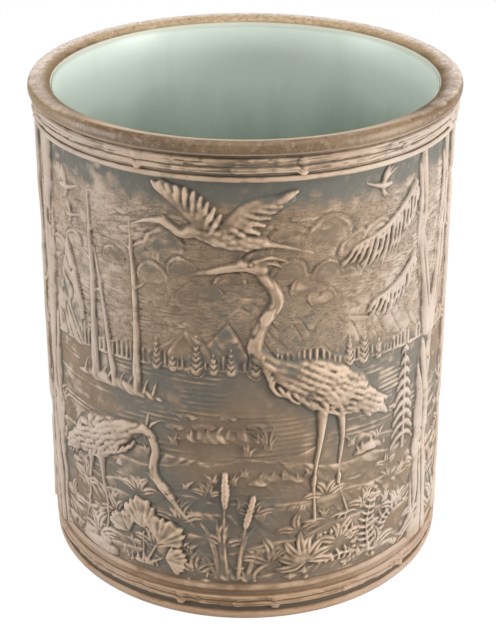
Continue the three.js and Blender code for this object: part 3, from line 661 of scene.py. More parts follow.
carver = np.random.default_rng(5)
for k in range(SHORE_STONES):
    arc = -ROUND / 2 + ROUND * (k + carver.uniform(-0.3, 0.3)) / SHORE_STONES
    shore = float(shore_height(arc))
    spine = [(arc - 4.5, shore), (arc, shore + carver.uniform(0, 1)), (arc + 4.5, shore)]
    ground_roll(spine, [1.0, 1.6, 1.0], [0.7, 1.1, 0.7])


def tiers(spot):
    """The layered skirts of a small fir: a saw-tooth along the trunk, drooping at the sides."""
    return 0.9 * (((spot.along - 0.8 * np.abs(spot.side)) / 3.6) % 1) - 0.45


for arc in FIR_ARCS:
    shore = float(shore_height(arc))
    tall = carver.uniform(13, 24)
    ground_roll([(arc, shore), (arc, shore + tall)], [0.27 * tall, 0.15 * tall, 0.6], [1.6, 1.5, 0.9],
                crown=2, skin=tiers)
for pad in LILY_PADS:
    lily_pad(*pad)
for tufts in TUFTS:
    for _ in range(tufts["count"]):
        grass(carver.uniform(-ROUND / 2, ROUND / 2), carver.uniform(*tufts["feet"]),
              carver.uniform(*tufts["sizes"]), carver)
for k in range(SPRAYS):
    arc = -ROUND / 2 + ROUND * ((k * GOLDEN_PART) % 1)
    leaf_spray(arc, 92 - 64 * k / SPRAYS, 13 + 8 * k / SPRAYS + carver.uniform(-2, 2), carver)
for _ in range(STONES):
    arc, foot = carver.uniform(-ROUND / 2, ROUND / 2), carver.uniform(26, 38)
    reach = carver.uniform(2, 6)
    lean = carver.uniform(-1, 1)
    ground_roll([(arc - reach, foot), (arc, foot + lean), (arc + reach, foot)], [0.8, 0.5 * reach + 1, 0.8],
                [0.6, 1.1 + 0.2 * reach, 0.6], crown=2, skin=lambda spot: planed(spot.s, spot.z, 92))

ground.lift += 0.16 * (round_noise(ground.s, ground.z, 3.4, 3.4, 90) - 0.5)
ground.lift += 0.22 * (round_noise(ground.s, ground.z, 11, 9, 91) - 0.5)


SLIP_BROWN, SLIP_GREY = (0x73614F, 0x8C7660), 0x6B6960
# Painted shade and light: the front buff and the first half-wiped colour are warmer and darker, for the front
# in shade; the side buff and the second half-wiped colour are paler and greyer, for the lit sides.
BUFF_SHADED_FRONT, BUFF_LIT_SIDES = (0xC2A58C, 0xD4BBA1), (0xB8A698, 0xC9B9AB)
HALF_WIPED_SHADED_FRONT_LIT_SIDES = 0x9F866C, 0xB4A18F
FOOT_STAIN, GROOVE_BROWN, IRON_BROWN = 0x91683F, 0x463829, 0x5F4B36


def sponged_slip():
    """A wash of slip over carved clay, sponged off again. Wiped ridges show buff clay, flats keep the slip,
    which is brown where thin and grey-green where thick, and grooves hold a dark brown line. Fine engraving
    adds its own lines. Painted shade makes the clay warmer and darker at the front, and painted light makes
    it paler and greyer at the sides, and a brown stain runs round the foot."""
    tree, given, out = effect(
        "sponged_slip",
        {"Wiped": 0.5, "Groove": 0.0, "Grey": 0.0, "Engraving": 0.0, "Place": "vector"},
        {"Colour": list, "Roughness": float, "Height": float},
    )
    grain = grain_at(tree, given["Place"])
    streaks = noise(tree, given["Place"], 130.0, 6.0, 0.72)
    drawn_out = node(tree, "Mapping", {"Vector": given["Place"], "Scale": (1, 1, 3.4)}).outputs[0]
    line = ramp(tree, noise(tree, drawn_out, 210.0), 0.46, 0.54, -1.0)
    cut = arithmetic(tree, "MULTIPLY", arithmetic(tree, "ABSOLUTE", line), given["Engraving"])
    uneven = arithmetic(tree, "MULTIPLY_ADD", streaks, 0.95, given["Wiped"])
    shown = arithmetic(tree, "MULTIPLY_ADD", cut, 0.3, uneven)
    at = node(tree, "SeparateXYZ", {"Vector": given["Place"]}).outputs
    # Painted light: 0 at the front and 1 at the sides, which turns the clay paler and greyer where the sides
    # are lit.
    painted_side_light = ramp(tree, at["Y"], -0.123, -0.092)
    stained = arithmetic(tree, "MULTIPLY", ramp(tree, at["Z"], 0.034, 0.02), 0.42)
    slip = blend(tree, given["Grey"], blend(tree, grain["Tone"], *SLIP_BROWN), SLIP_GREY)
    front, side = (blend(tree, grain["Tone"], *pair) for pair in (BUFF_SHADED_FRONT, BUFF_LIT_SIDES))
    buff = blend(tree, painted_side_light, front, side)
    colour = blend(tree, ramp(tree, shown, 0.5, 0.88), slip, blend(tree, painted_side_light, *HALF_WIPED_SHADED_FRONT_LIT_SIDES))
    colour = blend(tree, ramp(tree, shown, 0.82, 1.3), colour, buff)
    colour = blend(tree, stained, colour, FOOT_STAIN)
    colour = blend(tree, given["Groove"], colour, GROOVE_BROWN)
    colour = blend(tree, arithmetic(tree, "MULTIPLY", grain["Specks"], 0.4), colour, IRON_BROWN)
    height = arithmetic(tree, "MULTIPLY_ADD", grain["Height"], 0.35, cut)
    roughness = ramp(tree, shown, 0.0, 1.0, 0.62, 0.86)
    feed(tree, out, {"Colour": colour, "Roughness": roughness, "Height": height})
    return tree


slip_effect = sponged_slip()


def sponged_clay():
    """Carved stoneware under sponged slip. The attribute called sponging holds how far each point was wiped
    (red), how much of a groove it lies in (green), how grey its slip is (blue) and how finely it is engraved
    (alpha)."""
    material, tree, shader = new_material("sponged_clay")
    sponging = node(tree, "Attribute", attribute_name="sponging").outputs
    parts = node(tree, "SeparateColor", {"Color": sponging["Color"]}).outputs
    slip = node(tree, "Group", {
        "Wiped": parts["Red"], "Groove": parts["Green"], "Grey": parts["Blue"],
        "Engraving": sponging["Alpha"], "Place": object_place(tree),
    }, node_tree=slip_effect).outputs
    feed(tree, shader, {"Base Color": slip["Colour"], "Roughness": slip["Roughness"],
                        "Specular IOR Level": 0.4, "Normal": bump(tree, slip["Height"], 0.6, 0.0003)})
    return material


sponged_finish = sponged_clay()


def surface_normals(clay):
    """Outward unit normals of a patch of clay, from the differences between neighbouring lattice points."""
    points = on_wall(clay.s, clay.z, clay.lift).reshape(*clay.s.shape, 3)
    normals = np.cross(np.gradient(points, axis=1), np.gradient(points, axis=0))
    return normals / np.linalg.norm(normals, axis=-1, keepdims=True)


ground_normals = surface_normals(ground)
section_columns = COLUMNS // WALL_SECTIONS
for k in range(WALL_SECTIONS):
    first = -COLUMNS // 2 + k * section_columns - ground.columns[0]
    span = slice(first, first + section_columns + 1)
    section = Clay(0, 0, PANEL_FOOT, PANEL_HEAD, WALL_BLOCK)
    section.columns, section.rows = ground.columns[span], ground.rows
    section.s, section.z, section.lift = ground.s[:, span], ground.z[:, span], ground.lift[:, span]
    panel = clay_mesh(f"wall_panel_{k + 1}", section, lambda z: WALL_INNER_RADIUS + 0 * z, sponged_finish)
    normals = ground_normals[:, span].reshape(-1, 3)
    inward = len(panel.data.vertices) - len(normals)
    back = np.array([vertex.co for vertex in panel.data.vertices[-inward:]]) * (-1, -1, 0)
    back /= np.linalg.norm(back, axis=1, keepdims=True)
    panel.data.normals_split_custom_set_from_vertices(np.concatenate([normals, back]))
    stand_for(panel, "wall")


def turned_ring(name, radius, height, columns, finish):
    """A closed ring turned from a section given as radii and heights in mm, up its outer face first. radius
    may hold one section for each column round the pot."""
    faces = turned_faces(columns, np.shape(radius)[-1], True)
    return laid_mesh(name, turned_points(radius, height, columns), [faces], finish)


def marked(piece, sponging):
    """Stores the sponging of each vertex, four values from 0 to 1, on a piece."""
    attribute = piece.data.color_attributes.new("sponging", "FLOAT_COLOR", "POINT")
    attribute.data.foreach_set("color", np.clip(sponging, 0, 1).astype(np.float32).ravel())


def round_distance(arc, place):
    """Signed distance round the pot from a place, the short way."""
    return (arc - place + 1.5 * ROUND) % ROUND - 0.5 * ROUND


def front_part(arc):
    """1 at the front of the pot, and 0 at its sides and back."""
    return bell(round_distance(arc, 0), 64)


COLLAR_COLUMNS = 480
COLLARS = {
    "wall_foot": [(126.3, 12.3), (126.25, 18), (126.2, PANEL_FOOT), (WALL_INNER_RADIUS, PANEL_FOOT),
                  (WALL_INNER_RADIUS, 12.3)],
    "wall_collar": [(124.88, PANEL_HEAD), (125.3, 289.4), (126.2, 290.6), (126.3, 292), (126.3, 301),
                    (126.2, 302.2), (125.8, 302.4), (WALL_INNER_RADIUS, 302.4),
                    (WALL_INNER_RADIUS, PANEL_HEAD)],
}
for name, section in COLLARS.items():
    section = np.array(section)
    collar = turned_ring(name, section[:, 0], section[:, 1], COLLAR_COLUMNS, sponged_finish)
    # Painted light and shade: the collars are wiped paler at the sides and keep dark grey slip at the front.
    wiped = 0.12 + 0.38 * (1 - front_part(np.arange(COLLAR_COLUMNS) * ROUND / COLLAR_COLUMNS))
    wiped = np.repeat(wiped, len(section))
    marked(collar, np.stack([wiped, 0.1 + 0 * wiped, 1.0 - 1.1 * wiped, 0 * wiped], -1))
    stand_for(collar, "wall")


# Trunks. Old trees that frame the scene, modelled in slabs of clay, combed along their length for bark
# and luted on over the panel's whole height, each with its roots and a broken stub. Slim ones stand behind.

SPRIG_FOOTING = 3.4
SOFTENED_CELLS = 0.8
PANEL_LOW, PANEL_HIGH = 26.4, 286.4
TRUNK_BEND = 150
ROOTS = [(-2.1, 44, 1.6), (2.1, 46, 2), (-1.1, 36, 0.3), (1.2, 38, 0.6)]


def sprig(name, clay):
    """Puts a sprig of clay on the wall in place of its node in the frame, its surface softened a little."""
    soft = blurred(clay.lift, SOFTENED_CELLS, SOFTENED_CELLS)
    clay.lift = np.where(clay.lift > SUNK, np.maximum(soft, SUNK + 0.01), SUNK)
    piece = clay_mesh(name + "_sprig", clay, lambda z: ground_radius(z) - SPRIG_FOOTING, sponged_finish)
    stand_for(piece, name)


def combed_bark(seed):
    """Bark of an old tree: long cracks that wander along it, and fine strands between them."""
    def skin(spot):
        twist = 5 * clay_noise(spot.along / 34, 0 * spot.side, seed)
        cracks = clay_noise(spot.along / 42, (spot.side + twist) / 5.4, seed + 1)
        strands = clay_noise(spot.along / 20, (spot.side + twist) / 2.3, seed + 2)
        return 1.6 * cuts(cracks, 0.15) + 0.8 * (strands - 0.5)
    return skin


def birch_bark(seed):
    """Smooth birch bark with short cracks across it, and dark plates near the foot."""
    def skin(spot):
        cracks = clay_noise(spot.along / 3.2, spot.side / 7, seed)
        plates = cuts(clay_noise(spot.along / 9, spot.side / 5, seed + 1), 0.15)
        return -0.8 * smooth_step(cracks, 0.64, 0.8) + 1.1 * plates * smooth_step(spot.along, 70, 20)
    return skin


def ringed_knot(clay, s, z):
    """A knot in the bark: two grooves round it, one within the other."""
    turn = np.linspace(0, 2 * math.pi, 13)
    for ring, depth in ((3.6, 0.9), (1.5, 0.7)):
        clay.press(np.stack([s + 0.7 * ring * np.cos(turn), z + 1.3 * ring * np.sin(turn)], -1), 1.0, depth)


def old_trunk(name, foot, head, half_width, stub, skin, knots):
    """A trunk from its foot to its head, with four roots, a stub and knots at the given places."""
    reach, height = stub
    middle = (foot + head) / 2
    spread = 3 * half_width
    clay = Clay(min(foot, head) - spread - 20, max(foot, head) + spread + 20, PANEL_LOW, PANEL_HIGH)
    for away, rise, drop in ROOTS:
        elbow = foot + 0.75 * away * half_width, 0.5 * (rise + PANEL_LOW) - 1
        clay.roll([(foot + 0.3 * away, rise), elbow, (foot + away * half_width, PANEL_LOW + drop)],
                  [4.5, 3.2, 1.6], [3.2, 2.8, 1.4], skin=skin)
    clay.roll([(middle, height - 6), (middle + 0.6 * reach, height + 2), (middle + reach, height + 7)],
              [3.1, 2.2, 1.5], [2.9, 2.5, 1.9], skin=skin)
    clay.roll([(foot, PANEL_LOW - 3), (foot, 60), (middle, TRUNK_BEND), (head, PANEL_HIGH + 3)],
              [part * half_width for part in (1.75, 1.3, 1.1, 1, 0.9, 0.85)], [3.7, 3.5, 3.3, 3.2, 3.1],
              crown=3.2, skin=skin)
    for place in knots:
        ringed_knot(clay, *place)
    sprig(name, clay)


def slim_trunk(name, foot, head, half_width, skin, twigs):
    """A slim trunk, a little bent, with short twigs at the given heights that lean to the given side."""
    clay = Clay(min(foot, head) - 18, max(foot, head) + 18, PANEL_LOW, PANEL_HIGH)
    middle = (foot + head) / 2 + 1.5
    for height, reach in twigs:
        clay.roll([(middle, height), (middle + 0.6 * reach, height + 5), (middle + reach, height + 12)],
                  [1.6, 1.2, 0.7], [2.2, 1.9, 1.0], crown=2)
    clay.roll([(foot, PANEL_LOW - 3), (middle, TRUNK_BEND), (head, PANEL_HIGH + 3)],
              [part * half_width for part in (1.6, 1.1, 1, 0.9)], [3.1, 2.7, 2.6], crown=3, skin=skin)
    sprig(name, clay)


old_trunk("old_trunk_left", -150, -146, 9, (20, 214), combed_bark(101), [(-149, 118), (-146, 236)])
old_trunk("birch_trunk_back_right", 208, 214, 6.5, (18, 190), birch_bark(111), [(211, 132), (212, 226)])
old_trunk("old_trunk_back_left", -262, -256, 8.5, (-20, 222), combed_bark(121), [(-259, 142), (-257, 250)])
slim_trunk("slim_trunk_left", -177, -174, 4.4, combed_bark(141), [(96, -11), (182, 10), (231, -10)])
slim_trunk("slim_trunk_right", 163, 166, 4.2, combed_bark(151), [(118, -10), (176, 11), (222, -10)])

forked = Clay(100, 164, PANEL_LOW, PANEL_HIGH)
forked_bark = combed_bark(131)
for tip, middle in ((108, 117), (155, 145), (121, 125), (143, 138)):
    forked.roll([(131, 48), (middle, 36), (tip, PANEL_LOW + 1.5)], [5.6, 4, 2], [3.2, 2.8, 1.4],
                skin=forked_bark)
for low, middle, high, lift in ((133, 147, 150, 3.2), (131, 120, 118, 3.3)):
    forked.roll([(low, 170), (middle, 230), (high, PANEL_HIGH + 3)], [7, 5.6, 5.2], [lift, 3, 2.9], crown=3,
                skin=forked_bark)
forked.roll([(131, PANEL_LOW - 3), (129, 110), (132, 184)], [16, 11.5, 10.5, 9], [3.7, 3.5, 3.4, 3.2],
            crown=3.2, skin=forked_bark)
for spine in ([(148, 224), (156, 233), (160, 246)], [(119, 246), (111, 252)]):
    forked.roll(spine, [2.4, 1.7, 0.9], [2.7, 2.2, 1.3], skin=forked_bark)
ringed_knot(forked, 128, 96)
ringed_knot(forked, 134, 152)
sprig("forked_trunk_right", forked)


# Boughs. Sprays of fir that droop from the trunks, modelled as a limb with a web of clay under it, from which
# strands hang side by side. Slits were cut up into the web between the strands.

STRAND_SPACING = 3.9
BOUGHS = {
    "bough_right_high": ([(110, 270), (98, 259), (83, 249), (64, 243)], [24, 29, 26, 12], 201),
    "bough_right_low": ([(111, 226), (102, 217), (91, 210), (78, 206)], [18, 22, 19, 9], 202),
    "bough_back_left": ([(-244, 250), (-231, 238), (-218, 229), (-200, 222)], [22, 27, 24, 10], 203),
    "bough_back_right": ([(225, 262), (238, 251), (252, 242), (272, 236)], [22, 27, 24, 10], 204),
}


def along_line(line):
    """A line's length, and a function that gives the point at a part, from 0 to 1, of that length."""
    run = np.concatenate([[0], np.cumsum(np.hypot(*np.diff(line, axis=0).T))])
    return run[-1], lambda part: np.array([np.interp(part * run[-1], run, line[:, i]) for i in (0, 1)])


def ribbed(spot):
    """Fine upright ribs in the web of a bough."""
    return 0.3 * np.cos(2 * math.pi * (spot.s + 0.2 * spot.z) / 2.6)


def bough(name, spine, drops, seed):
    """The web covers the upper third of the hang, and every strand forks once on its way down. The length of
    the strands follows the drops, and they lean out more and more towards the tip of the limb."""
    carver = np.random.default_rng(seed)
    line = smooth_line(spine)
    length, foot = along_line(line)
    side = math.copysign(1, spine[-1][0] - spine[0][0])
    (low_s, low_z), (high_s, high_z) = np.min(spine, 0), np.max(spine, 0)
    clay = Clay(low_s - 10, high_s + 12, low_z - max(drops) - 6, high_z + 6)
    count = int(length / STRAND_SPACING)
    hang = lambda part: evenly(drops, part)
    parts = np.linspace(0.03, 0.97, 7)
    clay.roll([foot(part) + (0, -0.26 * hang(part)) for part in parts], [0.28 * hang(part) for part in parts],
              [1.9, 2.1, 1.8], crown=4, skin=ribbed)
    strands = []
    for k in range(count + 1):
        part = k / count
        drop = max(7, hang(part) * carver.uniform(0.78, 1.08))
        lean = side * drop * (0.06 + 0.75 * part**2.5 + carver.uniform(-0.06, 0.06))
        strands.append((foot(part), drop, lean))
    for (place, drop, lean), (after, *_) in zip(strands, strands[1:]):
        top, between = carver.uniform(0.16, 0.42), 0.5 * (place + after)
        clay.press([between + (top * lean, -top * drop), between + (0.6 * lean, -0.72 * drop)],
                   carver.uniform(0.75, 1.1), carver.uniform(0.5, 2.2))
    for place, drop, lean in strands:
        fork = place + (0.42 * lean, -0.5 * drop)
        clay.roll([place, fork, place + (lean, -drop)], [1.2, 1.7, 1.5, 0.6], [2.0, 2.7, 2.3, 0.9], crown=2)
        other = side * carver.uniform(1.6, 2.3) * carver.choice([-1, 1])
        clay.roll([fork, fork + (0.3 * lean + other, -0.22 * drop), fork + (0.5 * lean + other, -0.4 * drop)],
                  [1.1, 1.0, 0.5], [2.3, 2.0, 0.8], crown=2)
    clay.roll(spine, [2.0, 1.7, 1.6, 1.3], [2.7, 2.6, 2.4, 1.6], crown=2)
    for turn in (0.5, 1.1):
        leaf = [(-side * 3, 0), (side * 1.5, -2.4 * turn), (side * 4.5, -1.6 * turn)]
        clay.roll(line[-1] + leaf, [1.3, 1.2, 0.6], [1.9, 1.9, 0.9], crown=2)
    sprig(name, clay)


for name, form in BOUGHS.items():
    bough(name, *form)


# Dead trees on a low bank. Three bare trunks with snapped twigs, rolled thin and pressed on in one
# piece with the bank that they stand on.

DEAD_WOOD = [
    ([(-98, 151), (-97, 210), (-99, 267)], [4.2, 2.9, 2.6, 1.2], [2.6, 2.5, 2.2, 1.6]),
    ([(-82, 151), (-88, 196), (-95, 236)], [3.1, 2.3, 1.9, 1.0], [2.3, 2.1, 1.8, 1.2]),
    ([(-66, 151), (-65, 205), (-68, 258)], [3.7, 2.6, 2.2, 1.1], [2.5, 2.3, 2, 1.4]),
    ([(-98, 226), (-105, 229), (-110, 234)], [1.6, 1.2, 0.8], [1.8, 1.5, 1]),
    ([(-97, 206), (-91, 210), (-88, 216)], [1.4, 1.1, 0.7], [1.7, 1.4, 1]),
    ([(-98, 244), (-93, 248), (-91, 253)], [1.3, 1.0, 0.7], [1.6, 1.3, 1]),
    ([(-84, 178), (-78, 181), (-75, 187)], [1.4, 1.0, 0.7], [1.6, 1.3, 1]),
    ([(-66, 216), (-60, 220), (-56, 225)], [1.5, 1.1, 0.7], [1.7, 1.4, 1]),
    ([(-65, 192), (-71, 197), (-73, 203)], [1.4, 1.0, 0.7], [1.7, 1.4, 1]),
    ([(-67, 240), (-72, 243), (-74, 248)], [1.2, 1.0, 0.7], [1.5, 1.3, 1]),
]


def dry_wood(spot):
    """Split dry wood: long cracks and fine strands along the trunk."""
    cracks = cuts(clay_noise(spot.along / 26, spot.side / 2.6, 300), 0.12)
    return 0.7 * cracks + 0.8 * (clay_noise(spot.along / 15, spot.side / 1.9, 301) - 0.5)


def turf(seed, depth):
    """Turf: short strokes of the tool, all at one slant."""
    return lambda spot: depth * (clay_noise((spot.s + 0.7 * spot.z) / 2.8, spot.z / 8, seed) - 0.5)


dead = Clay(-118, -44, 144, 272)
for spine, widths, lifts in DEAD_WOOD:
    dead.roll(spine, widths, lifts, skin=dry_wood)
dead.roll([(-114, 149), (-84, 152), (-48, 148)], [1.2, 4.4, 5.2, 4.2, 1.0], [0.9, 1.8, 1.9, 1.7, 0.8],
          crown=2, skin=turf(303, 2.2))
for arc in (-108, -101, -92, -87, -78, -72, -61, -55):
    dead.roll([(arc, 151), (arc + 1.5, 157), (arc + 4, 161)], [1.1, 1.0, 0.6], [2.0, 1.7, 0.9], crown=2)
sprig("bare_trunks", dead)


# Crag, far hills and clouds. Sheets of clay laid thin. The rock is planed by strokes of a flat tool, and the
# clouds are lobes that overlap, each with its rim drawn round and its lower side smoothed away.


def hills(name, left, right, base, ridge, lift, relief, seed):
    """A hill between two arcs: full lift at its ridge line, thinner towards its base, planed all over."""
    clay = Clay(left - 4, right + 4, base - 5, max(ridge) + 5)
    crest = evenly(ridge, np.clip((clay.s - left) / (right - left), 0, 1))
    crest = crest + 3.2 * (clay_noise(clay.s / 6.5, 0 * clay.s, seed + 5) - 0.5)
    foot = base + 2.5 * (clay_noise(clay.s / 8, 0 * clay.s, seed + 6) - 0.5)
    inside = np.minimum.reduce([crest - clay.z, clay.z - foot, clay.s - left, right - clay.s]) / 1.3
    body = lift * (0.62 + 0.38 * smooth_step((clay.z - foot) / (crest - foot), 0, 0.9))
    body = body + relief * planed(clay.s, clay.z, seed)
    clay.lift = np.maximum(SUNK, np.where(inside > 1, np.maximum(body, 0.15), np.clip(inside, -2, 1) * body))
    sprig(name, clay)


hills("crag_left", -137, -105, 166, [186, 206, 236, 216, 194], 2.2, 1.1, 401)
hills("far_hills", -46, 2, 176, [182, 197, 190, 204, 184], 1.4, 0.8, 411)
hills("far_hills_back", 296, 344, 150, [156, 178, 168, 188, 158], 1.4, 0.8, 421)


def cloud_bank(name, lobes):
    """A sprig of cloud from its lobes, each given by its middle and its radius."""
    lobes = np.array(lobes, float)
    reach = 1.3 * lobes[:, 2].max()
    (low_s, low_z, _), (high_s, high_z, _) = lobes.min(0), lobes.max(0)
    clay = Clay(low_s - reach, high_s + reach, low_z - reach, high_z + reach)
    for lobe in lobes:
        cloud_lobe(clay, *lobe, footing=0.3)
    sprig(name, clay)


for name, lobes in {
    "clouds_front": [(44, 214, 9), (34, 222, 10), (47, 228, 11)],
    "clouds_left": [(-32, 216, 8), (-20, 219, 8)],
    "clouds_right": [(182, 258, 9), (194, 252, 9)],
    "clouds_back_right": [(288, 264, 10), (303, 266, 12)],
    "clouds_back": [(-342, 264, 10), (-326, 267, 12)],
    "clouds_back_left": [(-214, 266, 9), (-199, 264, 10)],
}.items():
    cloud_bank(name, lobes)


# Wading birds. Herons are the largest sprigs, modelled over a mould and finished by hand: body, folded wing,
# neck, bill, plumes and jointed legs, and feathers laid on singly in rows from the tail forwards.

FEATHER_ROW = 4.4
FEATHER_LANE = 3.7
BELLY_PLUMES, BREAST_PLUMES, QUILLS = 9, 6, 6
TOES = [(13, -2.5), (9, -6), (2.5, -7.5), (-8, -3)]
STANDING = {
    "neck": [(22, 12), (38, 26), (34, 44), (26, 58), (34, 74), (41, 80)],
    "head": [(35, 77.5), (46, 80.5)],
    "bill": [(42, 80), (56, 77.5), (82, 71)],
    "plumes": [[(40, 82), (30, 84.5), (20, 81)], [(38, 81), (29, 81), (21, 76)]],
    "breast": [(34, 24), (28, 8)],
    "near_leg": [(-2, -10), (-1, -32), (3, -62), (2, -90)],
    "far_leg": [(-12, -12), (-15, -34), (-13, -64), (-20, -90)],
    "eye": (41, 81),
}
STOOPING = {
    "neck": [(20, 12), (38, 18), (46, 4), (44, -14), (54, -28)],
    "head": [(50, -23), (57, -31)],
    "bill": [(54, -28), (62, -38), (76, -56)],
    "plumes": [[(51, -23), (46, -15), (37, -9)], [(49, -24), (42, -18), (36, -15)]],
    "breast": [(22, 14), (12, 6)],
    "near_leg": [(-2, -10), (-1, -32), (3, -58), (0, -82)],
    "far_leg": [(-12, -12), (-15, -34), (-18, -60), (-24, -82)],
    "eye": (55, -27),
}


def shaft(spot):
    """The shaft down the middle of a feather, and the barbs that slant away from it."""
    barbs = np.cos(2 * math.pi * (spot.along - 0.9 * np.abs(spot.side)) / 2.7)
    return 0.25 * bell(spot.side, 0.6) + 0.12 * barbs


def feather(clay, foot, tip, half_width, lift, base):
    """A feather that rises from its foot to a rounded tip, on the surface given as base."""
    foot, tip = np.array(foot, float), np.array(tip, float)
    widths = [0.7 * half_width, half_width, half_width, 0.55 * half_width]
    lifts = [0.15 * lift, 0.6 * lift, lift, 0.8 * lift]
    clay.roll([foot, tip], widths, lifts, crown=3, skin=shaft, base=base)


def feather_rows(clay, tail, shoulder, half_widths, length, lift, carver):
    """Rows of feathers over a limb, from its tail to its shoulder, their tips towards the tail."""
    tail, shoulder = np.array(tail, float), np.array(shoulder, float)
    base = clay.lift.copy()
    run = np.hypot(*(shoulder - tail))
    ahead = (shoulder - tail) / run
    across = np.array([-ahead[1], ahead[0]])
    rows = max(2, round(run / FEATHER_ROW))
    for row in range(1, rows + 1):
        half = evenly(half_widths, row / rows)
        lanes = max(1, round(2 * half / FEATHER_LANE))
        for lane in range(lanes + row % 2):
            away = (lane + 0.5 * (1 - row % 2) - 0.5 * lanes) * FEATHER_LANE
            foot = tail + ahead * run * row / rows + across * away
            tip = foot - ahead * length * carver.uniform(0.9, 1.15)
            tip = tip + across * (0.12 * away + carver.uniform(-0.5, 0.5))
            feather(clay, foot, tip, 0.54 * FEATHER_LANE, lift, base)


def down(seed, depth):
    """Soft feathering: short strands along the limb, with cuts between some of them."""
    def skin(spot):
        strands = clay_noise(spot.along / 9, spot.side / 2.2, seed) - 0.5
        parting = cuts(clay_noise(spot.along / 9, spot.side / 2.9, seed + 40), 0.2)
        return depth * (0.6 * strands + 0.75 * parting)
    return skin


def measures(s, z, side, size, least=0):
    """For a sprig with measures of its own, a function that places its points on the wall, mirrored where
    side is -1, and one that scales its widths, with a least width."""
    put = lambda points: [(s + side * size * x, z + size * y) for x, y in points]
    wide = lambda values: [max(least, size * value) for value in values]
    return put, wide


def leg(clay, put, wide, joints, widths, lifts):
    """A leg from hip to foot, with a knob at the knee and four toes."""
    (knee_x, knee_y), (foot_x, foot_y) = joints[2:]
    clay.roll(put(joints), wide(widths), lifts, crown=2)
    knob = [(knee_x - 0.3, knee_y + 2.5), (knee_x + 0.3, knee_y - 2.5)]
    clay.roll(put(knob), wide([2.1]), [lifts[2] + 0.4], crown=2)
    for x, y in TOES:
        toe = [(foot_x, foot_y), (foot_x + 0.55 * x, foot_y + 0.3 * y + 0.8), (foot_x + x, foot_y + y)]
        clay.roll(put(toe), wide([1.3, 1.15, 0.6]), [lifts[3], 1.7, 1.0], crown=2)


def wader(name, place, side, size, pose, seed):
    """A heron about its body's centre. side is 1 if it faces right and -1 if left."""
    carver = np.random.default_rng(seed)
    put, wide = measures(*place, side, size)
    outline = [(-50, -32), (-34, -100), *pose["neck"], *pose["bill"], *pose["near_leg"], *pose["far_leg"]]
    (low_s, low_z), (high_s, high_z) = np.min(put(outline), 0), np.max(put(outline), 0)
    clay = Clay(low_s - 9, high_s + 6, low_z + 2, high_z + 10)
    leg(clay, put, wide, pose["far_leg"], [4.6, 2.3, 1.5, 1.35, 1.4], [2.6, 2, 1.7, 1.6, 1.5])
    leg(clay, put, wide, pose["near_leg"], [5.4, 2.7, 1.7, 1.5, 1.6], [3, 2.4, 2.1, 2, 1.9])
    clay.roll(put([(-26, -10), (-38, -20), (-47, -29)]), wide([8.5, 7, 2.2]), [2.6, 2.4, 1.8])
    clay.roll(put([(-38, -20), (-16, -6), (8, 6), (26, 16)]), wide([4, 14.5, 19, 15.5, 6.5]),
              [1.7, 2.9, 3.1, 3.0, 2.4], crown=3, skin=down(seed, 0.5), blend=0.4)
    for k in range(BELLY_PLUMES):
        x, y = -6 + 4.4 * k, -14 + 2.4 * k + carver.uniform(-1, 1)
        clay.roll(put([(x, y), (x - 3.5, y - 5), (x - 9, y - 8.5)]), wide([1.5, 1.7, 0.6]), [3.0, 2.8, 1.3],
                  crown=2)
    feather_rows(clay, *put([(-40, -22), (26, 15)]), wide([3, 9, 13, 13, 6]), 5.6 * size, 0.75, carver)
    clay.roll(put(pose["neck"]), wide([8.5, 5.8, 4.6, 4.1, 4, 4.2]), [3.2, 3.1, 2.9, 2.8, 2.9],
              skin=down(seed + 1, 1.7), blend=0.8)
    clay.roll(put([(15, 12), (1, 5), (-17, -7), (-36, -21)]), wide([6, 11.5, 10.5, 5.5, 1.8]),
              [3.3, 3.8, 3.6, 3.0, 2.0], crown=3.5, blend=0.2)
    base = clay.lift.copy()
    for k in range(QUILLS):
        quill = put([(-10 - 3 * k, 5 - 5.2 * k + 0.3 * k * k), (-46 + 2.4 * k, -19 - 1.7 * k)])
        feather(clay, *quill, 2.3 * size, 0.9, np.maximum(base, 0.8))
    feather_rows(clay, *put([(-24, -9), (14, 13)]), wide([4, 9, 11, 9, 4]), 5.8 * size, 0.85, carver)
    (top_x, top_y), (low_x, low_y) = pose["breast"]
    for k in range(BREAST_PLUMES):
        part = k / (BREAST_PLUMES - 1)
        x, y = top_x + (low_x - top_x) * part, top_y + (low_y - top_y) * part
        clay.roll(put([(x, y), (x + 0.5, y - 5), (x - 2, y - 10)]), wide([1.3, 1.25, 0.5]), [3.2, 2.6, 1.1],
                  crown=2)
    for plume in pose["plumes"]:
        clay.roll(put(plume), wide([1.9, 1.5, 0.7]), [2.6, 2.2, 1.2], crown=2)
    clay.roll(put(pose["head"]), wide([4.4, 3.6]), [3.3, 3.2], crown=2.4)
    clay.roll(put(pose["bill"]), wide([3.6, 2.6, 1.9, 0.9]), [3.2, 2.9, 2.3, 1.3], crown=2.2)
    clay.press(put(pose["bill"]), 0.85, 0.8)
    turn = np.linspace(0, 2 * math.pi, 9)
    eye = np.stack([pose["eye"][0] + 1.5 * np.cos(turn), pose["eye"][1] + 1.5 * np.sin(turn)], -1)
    clay.press(put(eye), 0.9, 0.9)
    sprig(name, clay)


wader("heron_standing", (44, 158), -1, 1, STANDING, 501)
wader("heron_stooping", (-94, 110), 1, 0.86, STOOPING, 511)
wader("heron_back", (-322, 148), -1, 0.9, STANDING, 521)


def feather_fan(clay, spine, turns, lengths, count, half_width, lift):
    """Flight feathers that fan out from the bones of a wing, at angles from the first to the last in
    degrees."""
    base = clay.lift.copy()
    line = smooth_line(spine)
    for k in range(count):
        part = k / (count - 1)
        foot = np.array([evenly(line[:, i], part) for i in (0, 1)])
        turn = math.radians(evenly(turns, part))
        tip = foot + evenly(lengths, part) * np.array([math.cos(turn), math.sin(turn)])
        feather(clay, foot, tip, half_width, lift, np.maximum(base, 0.9))


